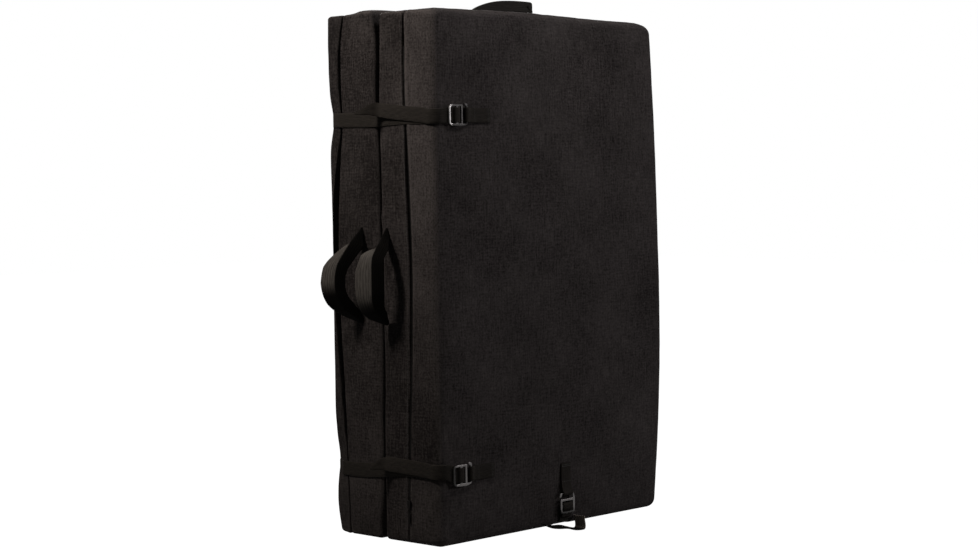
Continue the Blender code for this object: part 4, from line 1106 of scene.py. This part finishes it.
def make_bottom_strap():
    """From under the rear half, round the lower edge and up into the bottom hook."""
    place = PLACES["bottom"]
    corner = np.array([BOTTOM_STRAP_X, FRONT_Y + FRONT_RADIUS, FRONT_RADIUS])
    path = [np.array([BOTTOM_STRAP_X, y, RECESS_DEPTH - UNDER])
            for y in (REAR_INNER_Y + 0.050, FRONT_INNER_Y - 0.016)]
    proud = front_crown(BOTTOM_STRAP_X, FRONT_RADIUS) + 0.0003
    for angle in np.radians(np.linspace(0, 90, 9)):
        reach = FRONT_RADIUS + UNDER - RECESS_DEPTH * math.cos(angle)
        path.append(corner + reach * (-Z * math.cos(angle) - Y * math.sin(angle)) - Y * proud * math.sin(angle))
    path += ladder_path(place)
    path.append(place.at(-END_BAR, OVER))
    thing = strip("bottom_strap_webbing", soften(path, 2), X, STRAP, STRAP_THICK, WEBBING, gap=0.0016)
    give(thing, "rear_half", "bottom_closure_strap")
    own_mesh(thing)


def make_bottom_loop():
    """A loop sewn into the bottom edge, hanging below it and standing a little forward."""
    y = FRONT_Y - front_crown(BOTTOM_STRAP_X, 0.02) - 0.0135
    x = BOTTOM_STRAP_X + 0.0270
    path = soften([(x - 0.094, y, 0.0110), (x - 0.084, y, 0.0060), (x - 0.062, y, 0.0022), (x - 0.042, y, 0.0008),
                   (x - 0.024, y, -0.0050), (x - 0.002, y, -0.0088), (x + 0.0015, y, -0.0060), (x + 0.0015, y, 0.0010),
                   (x, y, 0.0060), (x - 0.001, y, 0.0150)], 3)
    widths = np.interp(np.linspace(0, 1, len(path)), [0, 0.2, 0.5, 1], [0.6, 0.8, 1, 1])
    tilt = np.radians(10) * (1 - ramp(path[:, 0], x - 0.030, x))
    across = np.outer(np.cos(tilt), Y) + np.outer(np.sin(tilt), Z)
    thing = strip("bottom_loop_webbing", path, across, STRAP, STRAP_THICK, LOOP_WEBBING, gap=0.0016, widths=widths)
    spots = np.array([v.co for v in thing.data.vertices])
    # painted shade: black over the loop except the upper part of its end leg, which keeps the pale painted light
    black = 1 - ramp(spots[:, 2], -0.0080, -0.0045) * ramp(spots[:, 0], x - 0.004, x - 0.001)
    mark(thing, "painted_shade", black)
    give(thing, "hanging_loop", "bottom_loop")


# Grab handles


def folded_band(name, ridge, rear_edge, front_edge, black_ends=None, black_front=1.0):
    """Wide webbing creased along its length, with painted shade: its front half and its ends painted black where shade
    falls on them.

    The edges give (share of the length, offset along Y, offset outwards) from the crease."""
    line, run = even_path(soften(ridge, 3), 0.002)
    out = unit(np.cross(Y, unit(np.gradient(line, axis=0))))
    share = np.linspace(0, 1, len(line))
    rear, front = (np.stack([np.interp(share, *np.array(edge).T[[0, n]]) for n in (1, 2)], 1)
                   for edge in (rear_edge, front_edge))
    ends = 1 - ramp(share, *black_ends[:2]) + ramp(share, *black_ends[2:]) if black_ends else np.zeros(len(line))
    rings, flats, black = [], [], []
    for n, place in enumerate(line):
        fold = soften([rear[n], rear[n] * 0.12 + front[n] * 0.02, front[n] * 0.12 + rear[n] * 0.02, front[n]], 2)
        along = unit(np.gradient(fold, axis=0))
        lift = np.stack([-along[:, 1], along[:, 0]], 1) * 0.0012
        start, end = fold[0] - along[0] * 0.0010, fold[-1] + along[-1] * 0.0010
        ring = np.concatenate([fold - lift, [end], (fold + lift)[::-1], [start]])
        rings.append(place + ring[:, :1] * Y + ring[:, 1:] * out[n])
        flats.append(np.stack([np.linspace(0, 0.094, len(ring)), np.full(len(ring), run[n])], 1))
        turned = np.linspace(0, 1, len(fold)) > 0.5
        # painted shade: black over the turned-away front half and over the ends
        black.append(np.maximum(np.concatenate([turned, [1], turned[::-1], [0]]) * black_front, min(ends[n], 1)))
    thing = ring_mesh(name, np.array(rings), np.array(flats), GRAB_WEBBING)
    mark(thing, "painted_shade", black)
    return thing


REAR_RIDGE = [(0.180, 0.0038, 0.5350), (0.181, 0.0100, 0.5285), (0.1845, 0.0205, 0.5180), (0.1886, 0.0300, 0.5050),
              (0.1935, 0.0395, 0.4880), (0.1993, 0.0475, 0.4680), (0.2018, 0.0490, 0.4380), (0.2005, 0.0450, 0.4150),
              (0.1950, 0.0330, 0.3960), (0.1860, 0.0150, 0.3810), (0.180, 0.0038, 0.3705)]
REAR_EDGES = (
    [(0, 0.001, -0.002), (0.07, 0.003, -0.009), (0.14, 0.004, -0.010), (0.20, 0.004, -0.001), (0.30, 0.013, 0.004),
     (0.42, 0.0225, 0.0090), (0.55, 0.0240, 0.0105), (0.72, 0.0220, 0.0090), (0.88, 0.017, 0.004),
     (1, 0.002, 0.001)],
    [(0, -0.001, -0.002), (0.07, -0.006, -0.010), (0.15, -0.015, -0.019), (0.30, -0.012, -0.018),
     (0.50, -0.0090, -0.0140), (0.80, -0.0090, -0.0140), (0.92, -0.005, -0.009), (1, -0.001, -0.002)])
FRONT_RIDGE = [(0.118, 0.0038, 0.5345), (0.1178, 0.0110, 0.5255), (0.1172, 0.0205, 0.5140), (0.1120, 0.0360, 0.5010),
               (0.1085, 0.0475, 0.4860), (0.1072, 0.0490, 0.4650), (0.1070, 0.0490, 0.4380), (0.1085, 0.0480, 0.4150),
               (0.1120, 0.0385, 0.3950), (0.1160, 0.0180, 0.3800), (0.118, 0.0038, 0.3705)]
FRONT_EDGES = (
    [(0, 0.001, -0.002), (0.07, 0.003, -0.009), (0.16, 0.004, -0.014), (0.23, 0.004, -0.002),
     (0.32, 0.0180, 0.0080), (0.44, 0.0265, 0.0115), (0.56, 0.0280, 0.0120), (0.72, 0.0250, 0.0100),
     (0.85, 0.020, 0.007), (1, 0.002, 0.001)],
    [(0, -0.001, -0.002), (0.07, -0.007, -0.009), (0.16, -0.015, -0.014), (0.30, -0.0110, -0.0155),
     (0.75, -0.0105, -0.0160), (0.90, -0.006, -0.011), (1, -0.001, -0.002)])
TOP_EDGES = (
    [(0, 0.002, -0.002), (0.12, 0.014, -0.004), (0.8, 0.014, -0.004), (1, 0.001, -0.001)],
    [(0, -0.006, -0.010), (0.10, -0.007, -0.019), (0.30, -0.007, -0.0205), (0.60, -0.0065, -0.0190),
     (0.80, -0.005, -0.013), (0.92, -0.003, -0.006), (1, -0.001, -0.001)])


def side_ridge(ridge):
    """A side handle's crease, from depths behind the front face, distances out and heights."""
    return [np.array([OPEN_X - out, FRONT_Y + depth, z]) for depth, out, z in ridge]


def make_handle_tab(word, foot, body, spot, along, out):
    """A sewn patch that gathers to a point under a handle's tip."""
    path = soften([spot - along * 0.0165 + out * 0.0012, spot - along * 0.004 + out * 0.0013,
                   spot + along * 0.0165 + out * 0.0008], 2)
    widths = np.interp(np.linspace(0, 1, len(path)), [0, 0.45, 0.85, 1], [0.96, 0.80, 0.30, 0.16])
    thing = strip("%s_%s_tab_cloth" % (word, foot), path, Y, 0.030, 0.0010, COVER, widths=widths, gap=0.002)
    give(thing, body, "%s_handle_%s_tab" % (word, foot))


def make_handles():
    """Both side handles and the top handle, with the tabs at their feet."""
    # the last four numbers give where the ends painted black as shade begin and end along each side handle
    for word, feet_y, ridge, edges, ends in (
            ("front", FRONT_Y + 0.118, FRONT_RIDGE, FRONT_EDGES, (0.20, 0.27, 0.66, 0.80)),
            ("rear", FRONT_Y + 0.180, REAR_RIDGE, REAR_EDGES, (0.16, 0.21, 0.52, 0.66))):
        handle = folded_band(word + "_side_handle_webbing", side_ridge(ridge), *edges, ends)
        give(handle, word + "_grab", word + "_side_handle")
        for foot, z, along in (("upper", 0.533, Z), ("lower", 0.371, -Z)):
            make_handle_tab(word, foot, word + "_half", np.array([OPEN_X, feet_y, z]), along, -X)
    y = FRONT_Y + 0.098
    middle = MIDDLE_X - 0.021
    foot_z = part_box("top_handle_left_tab")[1].z + 0.0009
    profile = [(0.0800, 0.0004), (0.0828, 0.0085), (0.0838, 0.0175), (0.0830, 0.0232), (0.0780, 0.0246),
               (0.0560, 0.0250), (0.030, 0.0248), (0.000, 0.0230), (-0.026, 0.0188), (-0.048, 0.0126),
               (-0.066, 0.0056), (-0.0745, 0.0004)]
    ridge = [np.array([middle + a, y, foot_z + b]) for a, b in profile]
    # the top handle's front half is painted most of the way to black as shade
    give(folded_band("top_handle_webbing", ridge, *TOP_EDGES, black_front=0.80), "top_grab", "top_handle")
    for side, foot in ((-1, "left"), (1, "right")):
        low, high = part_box("top_handle_%s_tab" % foot)
        make_handle_tab("top", foot, "front_half", np.array([(low.x + high.x) / 2, y, low.z - 0.0004]), X * side, Z)


# Zips


def make_zip(word, line, outward, body):
    """Coil teeth on a tape, sunk in the seam, along a line of points."""
    line = np.asarray(line, float)
    coil = rods_along(word + "_zip_coil", [line + X * outward * 0.0004], ZIP_COIL, COIL_LOOP, ZIP)
    tape = strip(word + "_zip_tape", line - X * outward * 0.0003, Y, 0.0070, 0.0006, ZIP, gap=0.01)
    give(join_pieces(word + "_zip_teeth", [coil, tape]), body, word + "_zip")


def box_points(low, high):
    return [(x, y, z) for x in (low[0], high[0]) for y in (low[1], high[1]) for z in (low[2], high[2])]


BOX_FACES = [(0, 1, 3, 2), (4, 6, 7, 5), (0, 4, 5, 1), (2, 3, 7, 6), (0, 2, 6, 4), (1, 5, 7, 3)]


def make_slider(word, wall_x, y, outward, body):
    """A slider with its wings, and a pull that hangs from it."""
    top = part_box(word + "_zip_slider")[1].z
    near, far = sorted((wall_x + outward * 0.0004, wall_x + outward * 0.0030))
    spots = box_points((near, y - 0.0045, top - 0.0125), (far, y + 0.0045, top - 0.0005))
    wings = mesh_piece("wings", spots, BOX_FACES, smooth=False, material=SLIDER_PAINT)
    for point in wings.data.vertices:
        if point.co.z < top - 0.006:
            point.co.y = y + (point.co.y - y) * 0.66
    keep_sharp(tidy_shell(wings, merge=False), 50)
    round_edges(wings, 0.0007)
    hole = rounded([(0.0030, -0.0011), (0.0055, -0.0011), (0.0055, 0.0011), (0.0030, 0.0011)], 0.0008)
    outline = rounded([(0, -0.0018), (0.010, -0.0020), (0.0255, -0.0028), (0.0255, 0.0028), (0.010, 0.0020), (0, 0.0018)],
                      [0.0015, 0.002, 0.0022, 0.0022, 0.002, 0.0015])
    pull = flat_casting("pull", [outline, hole], 0.0014, 0.0004, SLIDER_PAINT,
                        (wall_x + outward * 0.0022, y, top - 0.0140), -Z, Y)
    thing = join_pieces(word + "_slider_metal", [plain_mesh(wings), pull])
    give(thing, word + "_slider", word + "_zip_slider")


# Foam, hinge strip and harness


def moulded_copy(node):
    """A CAD node's mesh in plastic with rounded edges."""
    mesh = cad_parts[node].data.copy()
    mesh.materials.clear()
    mesh.materials.append(PLASTIC)
    thing = tidy_shell(linked(node + "_plastic", mesh))
    mesh.shade_smooth()
    round_edges(thing, 0.0010)
    return plain_mesh(keep_sharp(thing, 35))


def make_foams():
    """Cut foam blocks that fill the covers and swell with them."""
    for half, low_y, high_y, layers, form in (
            ("front", FRONT_Y, FRONT_INNER_Y, (("base", 0.012), ("core", 0), ("landing", 0.025)), front_form),
            ("rear", REAR_INNER_Y, REAR_OUTER_Y, (("landing", 0.025), ("core", 0), ("base", 0.012)), rear_form)):
        start, end = low_y + 0.0045, high_y - 0.0045
        cuts = [start, start + layers[0][1], end - layers[2][1], end]
        for number, (layer, _) in enumerate(layers):
            node = "%s_%s_foam" % (half, layer)
            low = (OPEN_X + 0.0105, cuts[number] + 0.0004, 0.0045)
            high = (HINGE_X - 0.0085, cuts[number + 1] - 0.0004, HEIGHT - 0.0085)
            points, outward, faces, uvs = soft_block(low, high, 0.030, ([], [], []), (0.004, 0.004))
            points += form(points) + common_sag(points, outward, 31) * 0.2
            thing = mesh_piece(node + "_block", points, faces, uvs, SOFT_FOAM if layer == "core" else STIFF_FOAM)
            give(thing, half + "_half", node)


def make_fold_hinge():
    """The cloth strip that joins the halves, with a soft roll over the fold."""
    middle_y = (FRONT_INNER_Y + REAR_INNER_Y) / 2
    ys = np.array([-0.024, -0.020, -0.014, -0.008, -0.005, -0.0025, 0, 0.0025, 0.005, 0.008, 0.014, 0.020, 0.024])
    zs = np.linspace(0.022, HEIGHT - 0.022, 90)
    wall_x = HINGE_X + 0.0022
    points = [(wall_x + 0.0012 * bell(d, 0.004) + 0.0002 * noise.noise(Vector((d * 60, z * 30, 3))), middle_y + d, z)
              for z in zs for d in ys]
    faces = row_faces(len(zs), len(ys), len(ys) - 1)
    uvs = [points[corner][1:] for face in faces for corner in face]
    thing = mesh_piece("fold_hinge_cloth", points, faces, uvs, COVER)
    wall = thing.modifiers.new("Cloth thickness", "SOLIDIFY")
    wall.thickness = 0.0014
    wall.offset = 0
    thing = plain_mesh(thing)
    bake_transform(thing)
    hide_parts("fold_hinge")
    x = wall_x + 0.0008
    for y, word in ((middle_y + 0.021, "rear"), (middle_y - 0.021, "front")):
        rows = [[(x, y, 0.026), (x, y, HEIGHT - 0.026)]]
        sew("hinge_stitches_" + word, rows, word + "_half", "fold_hinge", PAD_STITCH)


PAD_SECTION = np.array([
    (-0.97, 0.45), (-0.90, 0.80), (-0.70, 0.97), (-0.35, 1.0), (0, 1.0), (0.35, 1.0), (0.70, 0.97), (0.90, 0.80),
    (0.97, 0.45), (1.0, 0.0), (0.97, -0.45), (0.90, -0.80), (0.70, -0.97), (0, -1.0), (-0.70, -0.97), (-0.90, -0.80),
    (-0.97, -0.45), (-1.0, 0.0)])


def make_shoulder(side, word):
    """A padded shoulder strap with a webbing sewn down it, its ladder lock and the webbing below."""
    top = np.array([MIDDLE_X + side * 0.055, 0, 0.760])
    bottom = np.array([MIDDLE_X + side * 0.115, 0, 0.345])
    along = (bottom - top) / np.linalg.norm(bottom - top)
    across = np.cross(along, Y)
    full = 0.068
    path, widths = [], []
    for share in np.linspace(0, 1, 40):
        place = top + (bottom - top) * share
        place[1] = panel_y(place[0], place[2]) + 0.0066 + 0.020 * math.sin(math.pi * share) ** 2
        path.append(place)
        spread = min(math.sin(math.pi * share) / math.sin(math.radians(40)), 1)
        widths.append((0.040 + 0.028 * spread) / full)
    pad = strip(word + "_pad", path, across, full, 0.0115, PANEL, gap=0.006, widths=widths, section=PAD_SECTION)
    ribbon = strip(word + "_ribbon", [p + Y * 0.0068 for p in path], across, STRAP, 0.0014, WEBBING, gap=0.004)
    strap = join_pieces(word + "_shoulder_pad", [pad, ribbon])
    body, node = word + "_shoulder", word + "_shoulder_strap"
    give(strap, body, node)
    rows = [[p + Y * 0.0077 + across * edge * 0.0100 for p in path[1:-1]] for edge in (-1, 1)]
    rows += [[p + Y * 0.0052 + across * edge * (full * w / 2 - 0.0045) for p, w in zip(path[2:-2], widths[2:-2])]
             for edge in (-1, 1)]
    sew(word + "_shoulder_stitches", rows, body, node, PAD_STITCH)
    make_ladder_lock(word, bottom, along, across)


def make_ladder_lock(word, strap_end, along, across):
    """The lock at a shoulder strap's end, and the webbing that is threaded through it and sewn on below."""
    start = strap_end + along * 0.0006
    surface = panel_y(strap_end[0], strap_end[2])
    thick, high, wide = 0.0045, 0.030, 0.036
    plate_out = 0.0006 + STRAP_THICK + thick / 2
    bar, half = high / 6, wide / 2
    inner = half - bar
    outline = rounded([(0, -half), (high, -half + 0.001), (high, half - 0.001), (0, half)], 0.005)
    holes = [rounded([(bar * k, -inner), (bar * (k + 1.5), -inner), (bar * (k + 1.5), inner), (bar * k, inner)], 0.0010)
             for k in (1, 3.5)]
    place = np.array([start[0], surface + plate_out, start[2]])
    lock = flat_casting(word + "_lock", [outline, *holes], thick, 0.0012, PLASTIC, place, along, across)
    give(lock, word + "_shoulder", word + "_ladder_lock")
    crest = plate_out + thick / 2 + 0.0003 + STRAP_THICK / 2
    near, far = bar * 1.75, bar * 4.25
    soft = 0.0020
    profile = [(near, UNDER + soft), (near, crest - soft), (near + soft, crest), (far - soft, crest), (far, crest - soft),
               (far, UNDER + soft), (far + soft, UNDER)]
    path = [np.array([start[0], surface + out, start[2]]) + along * step for step, out in profile]
    threaded = path[-1]
    end = start + along * (start[2] - 0.150) / abs(along[2])
    for share in (0.35, 0.7, 1.0):
        place = threaded * (1 - share) + end * share
        place[1] = panel_y(place[0], place[2]) + UNDER
        path.append(place)
    web = strip(word + "_lower_strap", soften(path, 2), across, STRAP, STRAP_THICK, WEBBING, gap=0.0016)
    give(web, "rear_half", word + "_lower_webbing")
    spot = path[-1] + Y * 0.0010 - along * 0.012
    sew(word + "_lower_stitches", rectangle(spot, along, across, 0.018, 0.019), "rear_half", word + "_lower_webbing",
        BOX_STITCH)


def make_belt(side, word, half_name):
    """One padded wing of the waist belt, with a webbing on it and its half of the buckle."""
    belt_z, belt_width, thick, length = 0.235, 0.058, 0.008, 0.120
    root_x = MIDDLE_X + side * 0.225
    path, widths = [], []
    for share, lift, width in ((0, 0, 0.7), (0.1, 0, 0.86), (0.2, 0, 1), (0.45, 1, 1), (0.8, 1, 1), (0.92, 1, 0.88),
                               (1, 1, 0.7)):
        x = root_x - side * length * share
        y = panel_y(x, belt_z + belt_width / 2) + 0.0006 + thick / 2 + 0.0025 * lift
        path.append(np.array([x, y, belt_z]))
        widths.append(width)
    pad = strip(word + "_wing", path, Z, belt_width, thick * 0.97, PANEL, gap=0.005, widths=widths, section=PAD_SECTION)
    ribbon_path = [p + Y * (thick / 2 + 0.0008) for p in path]
    wing = join_pieces(word + "_belt_pad", [
        pad, strip(word + "_wing_ribbon", ribbon_path, Z, STRAP, 0.0014, WEBBING, gap=0.004)])
    body, node = word + "_belt", word + "_belt_wing"
    give(wing, body, node)
    rows = [[p + Y * (thick / 2 + 0.0016) + Z * s * 0.0100 for p in path[1:]] for s in (-1, 1)]
    sew(word + "_belt_stitches", rows, body, node, PAD_STITCH)
    buckle = "belt_buckle_" + half_name
    give(moulded_copy(buckle), body, buckle)


# Seams that are sewn on the covers


def sew_covers():
    """The row of stitches that shows behind the front half's seam."""
    row = [(OPEN_X - 0.0009, seam_y(z) + 0.0060, z) for z in np.linspace(0.03, HEIGHT - 0.02, 60)]
    sew("front_seam_stitches", [row], "front_half", "front_cover", SEAM_STITCH)


# Floor, light and camera


def plain_surface(name, color, share, strength):
    """White to the camera and to reflections, with some of its own shading kept for the shadow."""
    recipe = Recipe(name)
    cloth = recipe.add("ShaderNodeBsdfDiffuse", {}, {"Color": (*color, 1)})
    glow = recipe.add("ShaderNodeEmission", {}, {"Color": (1, 1, 1, 1), "Strength": strength})
    mixed = recipe.add("ShaderNodeMixShader", {}, {0: recipe.seen() * share, 1: cloth, 2: glow})
    recipe.add("ShaderNodeOutputMaterial", {}, {"Surface": mixed})
    return recipe.made


def make_stage():
    """A wide white floor."""
    size, z = 9.0, -0.0225
    corners = [(-size, -size, z), (size, -size, z), (size, size, z), (-size, size, z)]
    paint = plain_surface("white_floor", (0.16, 0.16, 0.16), 0.7, 1.46)
    mesh_piece("floor", corners, [(0, 1, 2, 3)], material=paint)


def lamp(name, place, target, size, power, color):
    """A round area lamp that faces its target."""
    data = bpy.data.lights.new(name, "AREA")
    data.shape = "DISK"
    data.size = size
    data.energy = power
    data.color = color
    thing = linked(name, data)
    thing.location = place
    thing.rotation_euler = (Vector(target) - Vector(place)).to_track_quat("-Z", "Y").to_euler()


def make_light():
    """Surroundings that are white to the camera and dim to the pad, and four lamps."""
    recipe = Recipe("studio", "worlds")
    plain = recipe.add("ShaderNodeBackground", {}, {"Color": (0.95, 0.97, 1.0, 1), "Strength": 0.085})
    white = recipe.add("ShaderNodeBackground", {}, {"Color": (1, 1, 1, 1), "Strength": 1.0})
    mixed = recipe.add("ShaderNodeMixShader", {}, {0: recipe.seen(), 1: plain, 2: white})
    recipe.add("ShaderNodeOutputWorld", {}, {"Surface": mixed})
    bpy.context.scene.world = recipe.made
    lamp("key_light", (-1.127, 0.408, 1.619), (-0.25, -0.20, 1.0), 0.24, 38, (1.0, 0.93, 0.86))
    lamp("face_light", (1.5, -2.0, 1.05), (0.03, -0.14, 0.45), 0.8, 25.5, (0.98, 0.96, 1.0))
    lamp("top_light", (-0.02, -0.85, 1.52), (-0.02, -0.14, 0.6), 0.4, 8.5, (1.0, 0.97, 0.96))
    lamp("back_light", (1.3, 2.4, 1.8), (0.05, 0.12, 0.5), 1.2, 70, (1.0, 0.97, 0.95))


def make_camera():
    """The photograph's own viewpoint."""
    yaw, pitch, roll = (math.radians(a) for a in (44.346, 2.962, -0.721))
    focal_pixels, photo_pixels, sensor = 2018, 978, 36.0
    level = np.array([math.cos(yaw), math.sin(yaw), 0])
    side = np.array([math.sin(yaw), -math.cos(yaw), 0])
    view = math.cos(pitch) * level - math.sin(pitch) * Z
    up = math.sin(pitch) * level + math.cos(pitch) * Z
    right = math.cos(roll) * side + math.sin(roll) * up
    top = -math.sin(roll) * side + math.cos(roll) * up
    data = bpy.data.cameras.new("photo_camera")
    data.sensor_width = sensor
    data.sensor_fit = "HORIZONTAL"
    data.lens = focal_pixels / photo_pixels * sensor
    thing = linked("photo_camera", data)
    turn = Matrix((right, top, -view)).transposed().to_4x4()
    thing.matrix_world = Matrix.Translation((-2.5780, -2.5300, 0.6294)) @ turn
    bpy.context.scene.camera = thing


make_camera()
make_stage()
make_light()
make_covers()
# the upper hook in the shaded copy with the lit copy on its end bar, the others with a shaded end bar: painted light
# and shade
for word in ("upper", "lower", "bottom"):
    make_hook(word, *((SHADED_HOOK_METAL, LIT_HOOK_METAL) if word == "upper" else (HOOK_METAL, SHADED_HOOK_METAL)))
for word, length in (("upper", 0.096), ("lower", 0.096), ("bottom", 0.091)):
    make_anchor(word, length)
make_closure_strap("upper", (-0.0030, -0.0042, -0.0050, -0.0025, -0.0015, -0.0022), (
    (0.025, 0.0002, 0.0, 0, 1), (0.045, 0.0018, 0.0, 0, 1), (0.069, 0.0042, 0.0002, 2, 1), (0.100, 0.0076, 0.0006, 6, 1),
    (0.123, 0.0106, 0.0013, 14, 1), (0.133, 0.0125, 0.0040, 26, 1), (0.140, 0.0135, 0.0115, 34, 0.90),
    (0.147, 0.0140, 0.0200, 36, 0.50), (0.156, 0.0145, 0.0290, 36, 0.10)))
make_closure_strap("lower", (-0.0045, -0.0058, -0.0010, 0.0060, 0.0090, 0.0080), (
    (0.025, 0.0094, 0.0, 0, 1), (0.045, 0.0104, 0.0, 0, 1), (0.075, 0.0115, 0.0002, 2, 1), (0.107, 0.0124, 0.0008, 8, 1),
    (0.124, 0.0128, 0.0018, 20, 1), (0.131, 0.0130, 0.0055, 32, 0.90), (0.138, 0.0130, 0.0130, 36, 0.50),
    (0.144, 0.0130, 0.0190, 36, 0.15)))
make_strap_root("upper", -0.0030, 0.0036)
make_strap_root("lower", -0.0045, 0.0052)
make_bottom_strap()
make_bottom_loop()
make_handles()
zip_heights = np.linspace(0.061, 0.839, 80)
zip_depths = 0.0012 + 1.3 * (read(SEAM_HALF, zip_heights) - 0.001)
make_zip("front", [(OPEN_X + d, seam_y(z), z) for z, d in zip(zip_heights, zip_depths)], -1, "front_half")
make_zip("rear", [(HINGE_X - 0.0012, REAR_ZIP_Y, z) for z in zip_heights], 1, "rear_half")
make_slider("front", OPEN_X, seam_y(0.83), -1, "front_half")
make_slider("rear", HINGE_X, REAR_ZIP_Y, 1, "rear_half")
make_foams()
make_fold_hinge()
for side, word, half_name in ((-1, "left", "socket"), (1, "right", "prongs")):
    make_shoulder(side, word)
    make_belt(side, word, half_name)
sew_covers()
bpy.context.scene.view_settings.view_transform = "Standard"
